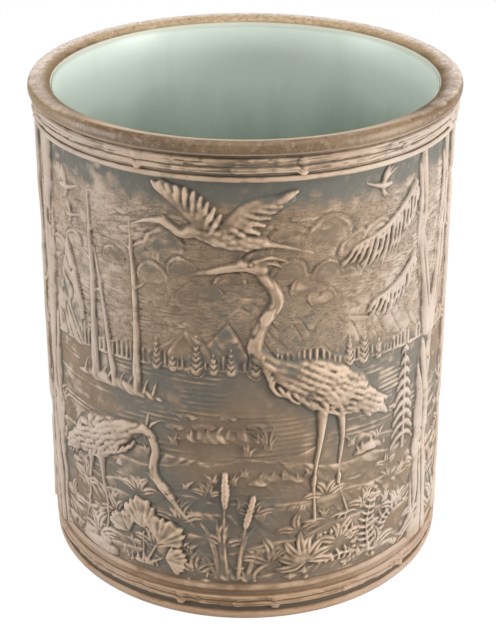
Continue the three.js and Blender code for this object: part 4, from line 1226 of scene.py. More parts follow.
flying = Clay(-76, 40, 226, 288)
place = np.array([-12, 254])
flying.roll(place + [(22, -3), (36, -6), (50, -11)], [3, 1.7, 1.1], [2.0, 1.8, 1.2], crown=2)
for spine, turns, lengths in (([(-7, 3), (-18, 15), (-34, 24)], [62, 92, 138], [12, 12, 8]),
                              ([(1, 3), (14, 16), (32, 23)], [-38, -10, 22], [15, 13, 9])):
    middle = math.radians(turns[1])
    behind = place + spine + 0.4 * lengths[1] * np.array([math.cos(middle), math.sin(middle)])
    flying.roll(place + spine, [6.5, 6, 2.4], [2.4, 2.3, 1.4], crown=3)
    flying.roll(behind, [5.4, 5.6, 3.2], [1.9, 1.9, 1.3], crown=5)
    feather_fan(flying, place + spine, turns, lengths, 10, 2.1, 1.3)
    feather_fan(flying, place + spine, turns, [0.55 * length for length in lengths], 8, 1.7, 0.8)
    flying.roll(place + spine, [3.0, 2.4, 1.4], [2.2, 3.0, 1.8], crown=2.2, skin=down(532, 0.9))
flying.roll(place + [(24, -3), (8, -1), (-8, 2), (-17, 3.5)], [3, 7, 7, 3.4], [2.0, 3.0, 3.2, 2.4],
            crown=2.6, blend=0.3)
feather_rows(flying, place + (24, -3), place + (-16, 4), [2, 5, 6, 4], 5, 0.6, np.random.default_rng(531))
flying.roll(place + [(-15, 4), (-23, 1.5), (-29, 4.5), (-35, 8)], [5, 3.8, 3, 3.2], [3.0, 2.9, 3.0],
            crown=2.4, skin=down(533, 0.7), blend=0.4)
flying.roll(place + [(-34, 8), (-44, 6), (-54, 2)], [3, 1.8, 0.8], [2.8, 2.2, 1.2], crown=2)
flying.press(place + [(-36, 8.2), (-52, 2.8)], 0.7, 0.5)
flying.press(place + [(-35.5, 9.3), (-34.5, 9.3)], 0.9, 0.9)
sprig("heron_flying", flying)


# Wild geese. Small sprigs from one press mould, set in lines across the sky.


def wild_goose(name, s, z, side, size):
    """A goose in flight: neck and body in one roll, and two spread wings with parted feathers."""
    clay = Clay(s - 22 * size, s + 22 * size, z - 16 * size, z + 18 * size)
    put, wide = measures(s, z, side, size, least=0.8)
    for x, y in ((-16, 12), (-12, 15), (-7, 16)):
        clay.roll(put([(1, 1), (0.3 * x, 0.62 * y), (x, y)]), wide([2.6, 2.2, 0.9]), [1.9, 1.7, 1.0], crown=2)
    for x, y in ((-9, -11), (-4, -13)):
        clay.roll(put([(2, 0), (0.25 * x, 0.6 * y), (x, y)]), wide([2.4, 1.9, 0.8]), [1.6, 1.4, 0.9], crown=2)
    clay.roll(put([(-10, 0), (0, 0), (9, 2), (17, 5)]), wide([1.2, 3.1, 2.8, 1.5, 1.0]), [1.6, 2.3, 1.9, 1.3],
              crown=2.2)
    sprig(name, clay)


for name, s, z, side, size in [("first", -120, 264, 1, 0.75), ("second", -116, 248, 1, 0.55),
                               ("third", 82, 275, -1, 0.7), ("back", 350, 244, -1, 1.6)]:
    wild_goose("wildfowl_" + name, s, z, side, size)


# Reeds. Stems, seed heads and blades rolled between the fingers and laid in clumps at the water's edge.

REED_BLADES = [
    ([(-8, 0), (-13, 28), (-25, 47)], [1.9, 2.6, 0.8]), ([(9, 0), (15, 18), (27, 28)], [1.9, 2.5, 0.8]),
    ([(-5, 0), (-9, 38), (-14, 60)], [1.5, 2.0, 0.6]), ([(3, 0), (8, 30), (19, 44)], [1.6, 2.2, 0.7]),
    ([(-10, 0), (-17, 15), (-28, 22)], [1.6, 2.1, 0.7]), ([(11, 0), (19, 9), (30, 12)], [1.6, 2.0, 0.7]),
]
REED_STEMS = [([(-3, 0), (-5, 34), (-4, 66)], [(-4.3, 54), (-4, 78)]),
              ([(4, 0), (6, 26), (10, 46)], [(8.6, 40), (13.4, 61)])]


def tussock(clay, s, z, size, seed):
    """An uneven mound of turf with a few blades, for plants to grow out of."""
    carver = np.random.default_rng(seed)
    for away in range(-16, 17, 4):
        arc, lean = s + size * away * carver.uniform(0.8, 1.1), carver.uniform(-4, 4)
        tall = carver.uniform(5, 9)
        clay.roll([(arc, z), (arc + 0.4 * lean, z + 0.6 * tall), (arc + lean, z + tall)], [1.3, 1.2, 0.6],
                  [1.8, 1.9, 0.8], crown=2)
    clay.roll([(s - 15 * size, z - 1.5), (s - 4 * size, z + 1), (s + 5 * size, z), (s + 15 * size, z - 2)],
              [0.8, 3.2 * size, 4.6 * size, 3 * size, 0.8], [0.8, 1.7, 2.0, 1.6, 0.8], crown=2,
              skin=turf(seed, 2.4))


def reeds(name, s, z, size):
    """A clump of reeds on its own tuft: two stems with dimpled heads, and long blades round them."""
    clay = Clay(s - 32 * size, s + 34 * size, z - 6, z + 84 * size)
    put, wide = measures(s, z, 1, size)
    for points, widths in REED_BLADES:
        clay.roll(put(points), wide(widths), [2.1, 2.0, 1.1], crown=2.4,
                  skin=lambda spot: -0.7 * bell(spot.side, 0.75))
    wave = lambda length: np.cos(2 * math.pi * length / 3.4)
    for stem, head in REED_STEMS:
        clay.roll(put(stem), wide([1.5, 1.2, 1.1]), [2.2, 2.0, 1.8], crown=2)
        clay.roll(put(head), wide([2.2, 3.0, 3.0, 2.2]), [2.7, 3.1, 3.1, 2.5], crown=2.6,
                  skin=lambda spot: 0.8 * wave(spot.along) * wave(spot.side))
    tussock(clay, s, z, size, 611)
    sprig(name, clay)


reeds("reeds_middle", -8, 30, 0.95)
reeds("reeds_back", 306, 30, 1.1)


# Ferns and rosettes. A frond was cut from a thin sheet and its leaflets parted with a knife. A rosette is
# pointed leaves round a centre, each with a cut midrib and side veins.

LEAFLET_SPACING = 4.2
FRONDS = [([(4, 0), (20, 6), (39, 2)], 7.5), ([(-2, 0), (-12, 22), (-35, 30)], 9),
          ([(2, 0), (16, 22), (35, 26)], 8.5), ([(0, 0), (2, 26), (-6, 54)], 9)]
ROSETTE_TURNS = [-12, 192, 18, 162, 50, 130, 82, 100, 145]


def lay_fern(clay, s, z, side, size):
    """Fronds with a midrib and paired leaflets that shorten towards the tip. Each frond was laid over the
    ones before it, which were pressed down under it."""
    put, _ = measures(s, z, side, size)
    for spine, reach in FRONDS:
        line = smooth_line(put(spine), 8)
        length, point = along_line(line)
        count = int(length / LEAFLET_SPACING)
        swell = lambda part: np.sin(math.pi * np.minimum(1, 0.2 + 0.8 * part) ** 0.8) * 0.85 + 0.16
        along, across, length = beside(line, clay.s, clay.z)
        under = np.abs(across) < reach * size * swell(along / length) + 0.8
        clay.lift[under] = np.minimum(clay.lift[under], 0.7)
        for k in range(1, count + 1):
            place, ahead, behind = (point(min(1, k / count + step)) for step in (0, 0.06, -0.06))
            forward = (ahead - behind) / np.hypot(*(ahead - behind))
            out = reach * size * swell(k / count)
            for turn in (-1, 1):
                across = np.array([-forward[1], forward[0]]) * turn
                tip = place + out * (0.92 * across + 0.42 * forward)
                middle = place + out * (0.5 * across + 0.16 * forward)
                clay.roll([place, middle, tip], [1.0, 1.5, 0.6], [1.9, 2.7, 1.2], crown=2.5)
        clay.roll(line, [1.3, 1.0, 0.7], [2.9, 2.8, 1.6], crown=2)
    tussock(clay, s, z, 0.6 * size, 621)


def pointed_leaf(spot):
    """A leaf with a cut midrib, a little hollow on both sides of it."""
    return 0.3 * np.abs(spot.side) / spot.width - 1.3 * bell(spot.side, 0.8)


def lay_rosette(clay, s, z, size):
    """Pointed leaves round a centre, by turns shorter and longer."""
    for k, degrees in enumerate(ROSETTE_TURNS):
        turn = math.radians(degrees)
        reach = (26 if k % 2 else 23) * size
        ray = np.array([math.cos(turn), math.sin(turn)])
        bend = np.array([-ray[1], ray[0]]) * 2 * size
        centre = np.array([s, z])
        clay.roll([centre, centre + 0.5 * reach * ray + bend, centre + reach * ray],
                  [1.6, 4.4 * size, 3.4 * size, 0.7], [2.3, 3.0, 2.6, 1.3], crown=3, skin=pointed_leaf)


for name, place in (("fern_back_left", (-217, 34, 1, 0.86)), ("fern_back_right", (250, 34, 1, 0.9))):
    clay = Clay(place[0] - 44, place[0] + 46, PANEL_LOW, 92)
    lay_fern(clay, *place)
    sprig(name, clay)

clay = Clay(332, 392, 30, 70)
lay_rosette(clay, 362, 40, 0.95)
sprig("rosette_back", clay)

clay = Clay(8, 122, PANEL_LOW, 92)
lay_fern(clay, 80, 34, -1, 0.9)
lay_rosette(clay, 37, 40, 0.88)
sprig("undergrowth_right", clay)


# Fan-leaved plants. Leaves thumbed thin on short stalks, ribbed with the point of a tool and scalloped at
# the edge.

FAN_LEAVES = [[(3, 0), (14, 7), (29, 9)], [(-2, 0), (-9, 18), (-19, 31)], [(2, 0), (10, 16), (20, 34)],
              [(0, 0), (1, 24), (-2, 45)]]
FAN_HALF_TURN = 1.05
FAN_RIBS = 7


def fan_plant(name, s, z, side, size):
    """Leaves that widen to a scalloped edge, with ribs that spread like a fan's sticks from the stalk's
    end."""
    clay = Clay(s - 32 * size, s + 42 * size, z - 6, z + 56 * size)
    put, _ = measures(s, z, side, size)
    for points in FAN_LEAVES:
        spine = np.array(put(points))
        clay.roll(spine[:2], [1.3 * size], [2.0, 2.3], crown=2)
        tip, stalk = spine[2], spine[1] + 0.1 * (spine[2] - spine[1])
        heading = math.atan2(tip[1] - stalk[1], tip[0] - stalk[0])
        reach = 1.28 * np.hypot(*(tip - stalk))
        out_s, out_z = clay.s - stalk[0], clay.z - stalk[1]
        from_stalk = np.hypot(out_s, out_z)
        turn = (np.arctan2(out_z, out_s) - heading + math.pi) % (2 * math.pi) - math.pi
        fan = turn / FAN_HALF_TURN
        frill = np.cos(2 * math.pi * FAN_RIBS * 0.5 * (fan + 0.05 * np.sin(9 * fan + s)))
        edge = reach * (1 - 0.32 * fan**2 + 0.05 * frill + 0.05 * np.sin(5 * fan + tip[0]))
        inside = np.minimum((edge - from_stalk) / 1.5, (1 - np.abs(fan)) * from_stalk / 1.5)
        rib = 0.4 * frill * smooth_step(from_stalk, 3, 8) - 0.5 * bell(turn * from_stalk, 0.8)
        rim = np.where(inside > 0, np.clip(inside, 0, 1) ** 0.5, 3 * inside)
        leaf = (1.7 + 1.1 * from_stalk / reach + rib) * rim
        clay.lift = np.maximum(clay.lift, np.where(inside > -0.8, leaf, SUNK))
    tussock(clay, s, z, 0.7 * size, 631)
    sprig(name, clay)


fan_plant("fan_plant_left", -65, 31, 1, 0.92)
fan_plant("fan_plant_back", -376, 32, -1, 0.95)


# Boulders and hummocks. Lumps of clay slapped into facets, with cracks cut in, and arched strips of turf
# with grass pinched up along them.

STONES_OF_A_HEAP = [(0.45, 1.0, 0.4, 1.0, 2.3), (-0.35, 1.1, 0.45, 1.1, 2.6), (0, 0, 1, 1.15, 3.2),
                    (0.62, -0.2, 0.5, 0.9, 3.0)]
HUMMOCKS = [("front", -14, 126, 26, 4.5), ("middle", 18, 98, 17, 4), ("right", 80, 108, 13, 4),
            ("back_right", 290, 131, 34, 5), ("back_middle", 352, 92, 26, 5), ("back", -366, 112, 22, 5),
            ("back_left", -232, 118, 18, 4.5), ("birch", 246, 104, 20, 4.5)]


def boulder(name, s, z, half_length, half_height, seed):
    """A heap of stones: domes of different sizes, faceted all over."""
    clay = Clay(s - half_length - 8, s + half_length + 8, z - half_height - 4, z + 2 * half_height + 6)
    for x, y, across, up, lift in STONES_OF_A_HEAP:
        out = np.sqrt(((clay.s - s - x * half_length) / (across * half_length)) ** 4
                      + ((clay.z - z - y * half_height) / (up * half_height)) ** 4)
        stone = lift * (1 - out**1.5) + np.clip(1.2 - out, 0, 1) * planed(clay.s + 40 * x, clay.z, seed)
        clay.lift = np.maximum(clay.lift, np.where(out < 1.6, stone, SUNK))
    sprig(name, clay)


boulder("boulder_left", -103, 31, 17, 4.4, 701)
boulder("boulder_back", -302, 34, 20, 7.5, 711)


def hummock(name, s, z, half_length, half_height, seed):
    """An arched strip of turf cut with slanting strokes, and blades of grass along its crest."""
    carver = np.random.default_rng(seed)
    clay = Clay(s - half_length - 8, s + half_length + 8, z - half_height - 5, z + half_height + 14)
    spine = smooth_line([(s - half_length, z - 1), (s, z + 2), (s + half_length, z - 1)], 8)
    for k in range(int(half_length / 2)):
        arc = s + half_length * carver.uniform(-0.86, 0.86)
        foot = np.interp(arc, spine[:, 0], spine[:, 1])
        tall, lean = half_height + carver.uniform(1, 5), carver.uniform(-4, 4)
        blade = [(arc, foot), (arc + 0.3 * lean, foot + 0.6 * tall), (arc + lean, foot + tall)]
        clay.roll(blade, [1.2, 1.1, 0.6], [1.7, 1.6, 0.7], crown=2)
    clay.roll(spine, [1.2, half_height, 1.1 * half_height, half_height, 1.2], [0.8, 1.5, 1.6, 1.5, 0.8],
              crown=2.2, skin=turf(seed, 1.9))
    sprig(name, clay)


for k, (name, *place) in enumerate(HUMMOCKS):
    hummock("hummock_" + name, *place, 720 + k)


# Firs. Young trees whose whorls of branches hang in layers, each branch fringed with needles.


def fir(name, s, z, tall, half_width, whorls):
    """Whorls of drooping branches, wide below and narrow above, each with its fringe, on a straight
    trunk."""
    clay = Clay(s - half_width - 6, s + half_width + 6, z - 4, z + tall + 6)
    clay.roll([(s, z), (s, z + 0.5 * tall), (s, z + tall)], [2.2, 1.6, 0.9], [2.4, 2.3, 1.6], crown=2)
    for k in range(whorls):
        part = k / whorls
        spread = half_width * (1.08 - part) ** 0.9
        height = z + tall * (0.1 + 0.86 * part)
        for side in (-1, 1):
            branch = smooth_line([(s, height + 0.25 * spread),
                                  (s + side * 0.55 * spread, height + 0.02 * spread),
                                  (s + side * spread, height - 0.38 * spread)], 6)
            for place in branch[2::2]:
                tip = place + (side * 0.9, -0.26 * spread - 2.4)
                clay.roll([place, tip], [1.2, 0.6], [2.1, 1.0], crown=2)
            clay.roll(branch, [2.1, 2.0, 0.9], [2.5, 2.4, 1.4], crown=2)
    sprig(name, clay)


fir("young_fir_right", 107, 98, 78, 10, 9)
fir("fir_back_left", -204, 96, 96, 14, 10)
fir("fir_back_right", 188, 92, 104, 12, 11)


# Foot roll and beads. Plain rolls of clay, run round the pot in a throat of slip and smoothed with a
# sponge. The two thin ones are left a little uneven, like twigs.

ROLL_BACK = 1.0
# Painted shade: how much less the front is taken as wiped, so that it stays darker.
FRONT_PAINTED_SHADE = -0.24
BAND_GROUND = 126.3
PLAIN_ROLLS = {
    "foot_roll": {"low": 0.3, "high": 6.0, "outer": 128.05, "columns": 600, "stations": 22,
                  "uneven": 0.12, "browner": 0.14},
    "lower_bead": {"low": 20.7, "high": 25.9, "outer": 127.9, "columns": 720, "stations": 18,
                   "uneven": 0.25, "browner": 0.16},
    "upper_bead": {"low": 286.8, "high": 290.2, "outer": 127.9, "columns": 720, "stations": 16,
                   "uneven": 0.22, "browner": 0.08},
}


def sponged(lift, row_step, column_step, grey, engraved, worn, reach=1.0):
    """What the sponge left: wiped where clay stands high or is ridged and where the slip is worn, a groove
    line where clay is sunk between ridges, and grey slip where it lies low. Four values for each point. What
    is passed as worn also holds painted shade at the front, and on the branch bands painted light at the
    sides."""
    near = lift - blurred(lift, 1.2 * reach / row_step, 1.2 * reach / column_step)
    wide = lift - blurred(lift, 4.5 / row_step, 4.5 / column_step)
    wiped = 0.03 + 0.53 * smooth_step(lift, 0.1, 2.3) + 1.1 * near + 0.07 * wide + worn
    groove = smooth_step(-near, 0.06, 0.5) * (0.3 + 0.7 * smooth_step(lift, 0.2, 1.2))
    grey = np.maximum(grey, 0.9 * smooth_step(-wide, 0.25, 1.1))
    return np.stack([wiped, groove, grey + 0 * lift, engraved + 0 * lift], -1)


def uneven_wear_and_front_shade(arc, height, seed, broad=0.62, fine=0.45):
    """How unevenly the sponge wiped: noise in broad patches and in fine ones, and painted shade at the front,
    where less is taken as wiped."""
    patches = broad * (round_noise(arc, height, 13, 9, seed) - 0.5) + FRONT_PAINTED_SHADE * front_part(arc)
    return patches + fine * (round_noise(arc, height, 4.5, 3, seed + 1) - 0.5)


def moulding(name, face_radius, face_height, low, high, grey, seed, reach=1.0, browner=0.0, grooves=1.0):
    """A moulding round the pot from its face, given in rows of one column each, with a flat back. grooves
    says how much of the dark line stays in its grooves."""
    columns = len(face_radius)
    arc = np.arange(columns)[:, None] * ROUND / columns
    sides = np.full((columns, 1), BAND_GROUND - ROLL_BACK)
    ring = turned_ring(name + "_clay", np.hstack([face_radius, sides, sides]),
                       np.hstack([face_height, sides * 0 + high, sides * 0 + low]), columns, sponged_finish)
    # Real uneven wiping, with painted shade at the front and, on the branch bands, painted light at the
    # sides.
    wear_and_painted_light = uneven_wear_and_front_shade(arc, face_height, seed) - browner
    row_step = (high - low) / face_radius.shape[1]
    worn = sponged((face_radius - BAND_GROUND).T, row_step, ROUND / columns, grey, 0.0, wear_and_painted_light.T, reach)
    worn = worn * (1, grooves, 1, 1)
    marked(ring, np.concatenate([worn.transpose(1, 0, 2), np.zeros((columns, 2, 4))], 1))
    stand_for(ring, name)


def plain_roll(name, low, high, outer, columns, stations, uneven, browner, seed):
    """A roll with a half-round face, radius = back + swell x cosine, that swells and thins a little."""
    arc = np.arange(columns)[:, None] * ROUND / columns
    turn = np.linspace(-0.5, 0.5, stations)[None] * math.pi
    dents = uneven * round_noise(arc, 0 * arc, 34, 1, seed)
    dents = dents + 0.6 * uneven * round_noise(arc, 3 * turn, 7, 1, seed + 1)
    radius = BAND_GROUND + (outer - BAND_GROUND) * (1 - dents) * np.cos(turn) ** 0.8
    height = (low + high) / 2 + (high - low) / 2 * np.sin(turn) + 0 * arc
    moulding(name, radius, height, low, high, 0.0 if low < 100 else 0.3, seed + 2, 1.6, browner)


for k, (name, values) in enumerate(PLAIN_ROLLS.items()):
    plain_roll(name, **values, seed=801 + 5 * k)


# Branch bands. Two split branches laid side by side round the pot, with bark stripped off: long grain,
# ends that overlap, and a knot or the stub of a twig here and there.

BAND_COLUMNS = 1200
BAND_STATIONS = 28
KNOT_SPACING = 52
BANDS = {
    "lower_branch_band": {"low": 9.6, "high": 17.3, "outer": 128.7, "split": 0.45,
                          "knots": [-107, -40, -5, 18, 64, 111], "seed": 901},
    "upper_branch_band": {"low": 291.8, "high": 300.9, "outer": 129.3, "split": 0.42,
                          "knots": [-107, -60, -5, 31, 96], "seed": 951},
}


def knots_round(front):
    """The knots of a band, carried on round the back at about the mean spacing."""
    gap = ROUND - front[-1] + front[0]
    count = round(gap / KNOT_SPACING)
    return [*front, *(front[-1] + gap * k / count for k in range(1, count))]


def along_sticks(arc, carver, length):
    """How far each point lies along its stick, in mm, and the stick's length, for sticks of uneven length
    that follow one another round the pot."""
    starts = np.arange(0, ROUND, length)
    ends = np.sort((starts + carver.uniform(-0.3, 0.3, len(starts)) * length) % ROUND)
    ends = np.concatenate([[ends[-1] - ROUND], ends, [ends[0] + ROUND]])
    place = np.searchsorted(ends, arc % ROUND, side="right")
    return arc % ROUND - ends[place - 1], ends[place] - ends[place - 1]


def branch_band(name, low, high, outer, split, knots, seed):
    """The band's face is a grid of arc and height. Each strand is a rounded bar, 1 - across ^ 4, cut by
    grain lines, and its sticks taper where the next one begins. Knots add bells, with a brown stain beside
    each, and stubs pull the lower edge down."""
    carver = np.random.default_rng(seed)
    arc = np.arange(BAND_COLUMNS)[:, None] * ROUND / BAND_COLUMNS
    v = np.linspace(0, 1, BAND_STATIONS)[None] + 0 * arc
    height = low + (high - low) * v
    parting = split + 0.16 * (round_noise(arc, 0 * arc, 34, 1, seed) - 0.5)
    upper = v > parting
    across = np.where(upper, (v - parting) / (1 - parting), v / parting) * 2 - 1
    upper_stick, lower_stick = along_sticks(arc, carver, 92), along_sticks(arc, carver, 74)
    along, length = (np.where(upper, *pair) for pair in zip(upper_stick, lower_stick))
    begin, end = smooth_step(along, 0, 3), smooth_step(length - along, 0, 12)
    inward = np.where(upper, across < 0, across > 0)
    rounded = np.clip(1 - np.where(inward, 0.55, 1) * np.abs(across) ** 4, 0, 1)
    bar = rounded * (0.62 + 0.38 * np.minimum(begin, end))
    cracks = cuts(round_noise(arc, height, 44, 1.25, seed + 1), 0.12)
    strands = round_noise(arc, height, 26, 0.8, seed + 2) - 0.5
    broken = smooth_step(round_noise(arc, height, 15, 5, seed + 3), 0.56, 0.8)
    broken = broken * (round_noise(arc, height, 2.6, 1.5, seed + 4) - 0.4)
    swell = round_noise(arc, height, 18, 6, seed + 5) - 0.5
    lift = bar * (2.1 + 0.55 * cracks + 0.5 * strands - 1.1 * broken + 0.3 * swell)
    drop, stained = np.zeros(arc.shape), np.zeros(arc.shape)
    for k, place in enumerate(knots_round(knots)):
        away = round_distance(arc, place)
        out = np.hypot(away / 1.25, (v - (0.66 if k % 2 else 0.3)) * (high - low))
        out = out * (0.8 + 0.5 * round_noise(arc, height, 3.5, 2.5, seed + 7))
        lift = lift + bell(out, 2.6) - 0.5 * bell(out - 2.9, 0.7) * (away < 0)
        if k % 2 == 0:
            lift = lift - 0.4 * bell(out, 0.9)
            stained = stained + bell(away + 6, 4.5) + 0.6 * bell(away - 8, 4)
        else:
            drop = drop + 1.7 * np.exp(-((away / 2.6) ** 4))
            stub = 2.3 * np.exp(-((away / 2.8) ** 4)) * smooth_step(v, 0.45, 0.25)
            lift = np.maximum(lift, stub * (0.85 + 0.3 * round_noise(arc, height, 2.5, 2, seed + 8)))
    lift = np.clip(lift, 0, outer - BAND_GROUND + 0.25)
    lift[:, [0, -1]] = -0.3
    height = height - drop * np.clip(1 - 2.2 * v, 0, 1)
    grey, browner = (0.0, 0.06) if low < 100 else (0.35, 0.05)
    # Painted light: the bands are wiped paler at the sides than at the front.
    browner = browner - 0.26 * (1 - front_part(arc))
    browner = browner + 0.45 * stained * round_noise(arc, height, 5, 3, seed + 9)
    moulding(name, BAND_GROUND + lift, height, low, high, grey, seed + 6, 0.7, browner, grooves=0.35)


for name, values in BANDS.items():
    branch_band(name, **values)


# Sponging. Slip is washed over the whole panel once the sprigs are on, and wiped back with a damp sponge, so
# what each point keeps depends on all the clay round it.

first = -COLUMNS // 2 - ground.columns[0]
panel = ground.lift[:, first:first + COLUMNS].copy()
for piece, clay, used in panel_pieces:
    place = np.ix_(clay.rows, (clay.columns + COLUMNS // 2) % COLUMNS)
    panel[place] = np.maximum(panel[place], clay.lift)
panel_s, panel_z = ground.s[:, first:first + COLUMNS], ground.z[:, first:first + COLUMNS]
thick_slip = np.maximum(smooth_step(panel_z, 262, 277), 0.7 * smooth_step(panel_z, 36, 27))
thick_slip = np.maximum(thick_slip, 0.8 * smooth_step(round_noise(panel_s, panel_z, 58, 40, 21), 0.48, 0.75))
above_woods = smooth_step(panel_z, shore_height(panel_s) + 5, shore_height(panel_s) + 14)
open_sky = above_woods * smooth_step(panel_z, 278, 268) * (panel < 0.75)
# Uneven wiping of the panel, with painted shade at the front.
panel_wear_and_shade = uneven_wear_and_front_shade(panel_s, panel_z, 23)
panel_sponging = sponged(panel, ROW_STEP, COLUMN_STEP, thick_slip, open_sky, panel_wear_and_shade)
for piece, clay, used in panel_pieces:
    worn = panel_sponging[np.ix_(clay.rows, (clay.columns + COLUMNS // 2) % COLUMNS)][used]
    marked(piece, np.vstack([worn, np.zeros((len(piece.data.vertices) - len(worn), 4))]))


# Rim roll. A thick roll thrown on last, its top flattened by the hand and inclined inward. It was brushed
# with brown glaze, and the sponge took some of it off the top again.

RIM_COLUMNS = 600
RIM_SECTION = [(116.2, 302.9), (122, 302.7), (128.6, 302.8), (129.7, 303.7), (130, 305.2), (129.8, 306.9),
               (129.1, 308.6), (127.8, 309.7), (126.2, 310), (123.2, 309.6), (119.8, 308.7), (117.6, 307.6),
               (116.5, 306.0), (116.2, 304.4)]
RIM_GLAZE, GLAZE_FLECKS, GLAZE_PATCHES, RIM_SPECKS = (0x6B533A, 0x846B4B), 0x917B66, 0x6F5738, 0x46361F
# The last colour here, for the crest, is a painted highlight.
WORN_PINK, WORN_GOLD, CREST_PAINTED_HIGHLIGHT = (0xF2E2D4, 0xC8B6A6), (0xC9AF8C, 0xA08463), 0xD2B99D
UNDERSIDE, CREAM_LINE = 0xA48C72, 0xD9D9C6


def brown_rim():
    """Brown glaze over buff clay: dark and smooth on the outer face, wiped thin and specked on the flat top,
    with painted light that makes the top paler towards the back, golden on its inner half, and a pale painted
    highlight along the crest in front. The lining's glaze ends in a cream line on its inner edge."""
    material, tree, shader = new_material("brown_rim")
    place = object_place(tree)
    grain = grain_at(tree, place)
    at = node(tree, "SeparateXYZ", {"Vector": place}).outputs
    radius = axis_distance(tree, place)
    patches = noise(tree, place, 75.0, 7.0, 0.72)
    drift = noise(tree, place, 13.0, 3.0)
    fine = noise(tree, place, 330.0, 4.0, 0.75)
    # Painted light: the glaze counts as wiped thin lower down towards the back, so the rim's top is paler
    # there.
    height_with_painted_back_light = arithmetic(tree, "MULTIPLY_ADD", at["Y"], 0.018, at["Z"])
    thin = ramp(tree, arithmetic(tree, "MULTIPLY_ADD", patches, 0.0045, height_with_painted_back_light), 0.31, 0.3124)
    nearer = arithmetic(tree, "MULTIPLY_ADD", at["Y"], -0.022, radius)
    patchy = arithmetic(tree, "MULTIPLY_ADD", patches, 0.006, nearer)
    # Painted highlight: a pale band on the inner side of the rim's top, at the front only.
    front_highlight_mask = ramp(tree, at["Y"], -0.07, -0.1)
    crest = arithmetic(tree, "MULTIPLY", ramp(tree, patchy, 0.1322, 0.1302), front_highlight_mask)
    glaze = blend(tree, ramp(tree, drift, 0.4, 0.6), *RIM_GLAZE)
    glaze = blend(tree, ramp(tree, fine, 0.5, 0.66), glaze, GLAZE_FLECKS)
    pink = blend(tree, ramp(tree, fine, 0.42, 0.68), *WORN_PINK)
    golden = blend(tree, ramp(tree, fine, 0.42, 0.66), *WORN_GOLD)
    worn = blend(tree, ramp(tree, patchy, 0.126, 0.122), pink, golden)
    colour = blend(tree, thin, glaze, worn)
    colour = blend(tree, ramp(tree, patches, 0.62, 0.74), colour, GLAZE_PATCHES)
    colour = blend(tree, grain["Specks"], colour, RIM_SPECKS)
    colour = blend(tree, ramp(tree, at["Z"], 0.3042, 0.3034), colour, UNDERSIDE)
    # Painted highlight along the crest in front.
    colour = blend(tree, crest, colour, CREST_PAINTED_HIGHLIGHT)
    colour = blend(tree, ramp(tree, radius, 0.1169, 0.1166), colour, CREAM_LINE)
    feed(tree, shader, {"Base Color": colour, "Normal": bump(tree, patches, 0.35, 0.0006),
                        "Roughness": ramp(tree, patches, 0.3, 0.7, 0.36, 0.6)})
    return material


section = smooth_line([*RIM_SECTION, RIM_SECTION[0]], 4)[:-1]
arc = np.arange(RIM_COLUMNS)[:, None] * ROUND / RIM_COLUMNS
rows = section[None, :, 1]
dents = 0.3 * (round_noise(arc, rows, 34, 6, 961) - 0.5) + 0.16 * (round_noise(arc, rows, 9, 4, 962) - 0.5)
outer_side = smooth_step(section[None, :, 0], 118, 124)
radii = section[None, :, 0] + dents * outer_side
rim = turned_ring("rim_roll_clay", radii, rows + 0 * dents, RIM_COLUMNS, brown_rim())
stand_for(rim, "rim_roll")


# Glaze lining. A thick pale blue-green glaze poured in and out again. It pooled a little paler along its top
# edge, where it breaks over the clay.

LINING_COLUMNS = 300
LINING_OUTER, LINING_INNER = 115.9, 115.2
LINING_FLOOR, LINING_TOP, LINING_COVE = 12.3, 305.3, 9.0
LINING_THICKNESS = 0.7
# The first lining colour is the glaze in painted shade deep in the pot, the second the glaze near its top.
CELADON_SHADED_TO_LIT, LIP_CREAM = (0x43613B, 0xEAF5EA), 0xD5DDD0


def celadon():
    """Glossy glaze whose depth of colour drifts in slow upright runs, with painted shade that makes it darker
    deeper in the pot and paler upwards, and cream at the lip.
    """
    material, tree, shader = new_material("celadon_glaze")
    place = object_place(tree)
    upright = node(tree, "Mapping", {"Vector": place, "Scale": (1, 1, 0.22)}).outputs[0]
    runs = noise(tree, upright, 22.0, 4.0, 0.55)
    fine = noise(tree, place, 260.0, 3.0)
    rise = node(tree, "SeparateXYZ", {"Vector": place}).outputs["Z"]
    # Painted shade: the glaze darkens deeper down inside the pot.
    depth = arithmetic(tree, "MULTIPLY", ramp(tree, rise, 0.186, 0.27), 0.92)
    pale = arithmetic(tree, "MULTIPLY_ADD", ramp(tree, runs, 0.3, 0.7), 0.25, depth)
    colour = blend(tree, pale, *CELADON_SHADED_TO_LIT)
    colour = blend(tree, ramp(tree, rise, 0.3028, 0.3048), colour, LIP_CREAM)
    feed(tree, shader, {"Base Color": colour, "Normal": bump(tree, fine, 0.12, 0.0004),
                        "Roughness": ramp(tree, fine, 0.0, 1.0, 0.28, 0.42)})
    return material


def cove(radius, start, end):
    """Points round the lining's rounded corner, from one angle to another in degrees."""
    turn = np.radians(np.linspace(start, end, 12))
    centre = LINING_OUTER - LINING_COVE, LINING_FLOOR + LINING_COVE
    return list(zip(centre[0] + radius * np.cos(turn), centre[1] + radius * np.sin(turn)))


outer_rise = [(LINING_OUTER, z) for z in np.linspace(40, LINING_TOP - 0.4, 14)]
inner_fall = [(LINING_INNER, z) for z in np.linspace(LINING_TOP - 0.35, 40, 14)]
lip = [(LINING_OUTER - 0.15, LINING_TOP - 0.1), (LINING_OUTER - 0.35, LINING_TOP),
       (LINING_INNER + 0.12, LINING_TOP - 0.1)]
upper_face = LINING_FLOOR + LINING_THICKNESS
cup = [(0, LINING_FLOOR), (60, LINING_FLOOR), *cove(LINING_COVE, -90, 0), *outer_rise, *lip, *inner_fall,
       *cove(LINING_COVE - LINING_THICKNESS, 0, -90), (60, upper_face), (0, upper_face)]
lining = turned_solid("glaze_lining_cup", cup, LINING_COLUMNS, celadon())
stand_for(lining, "glaze_lining")


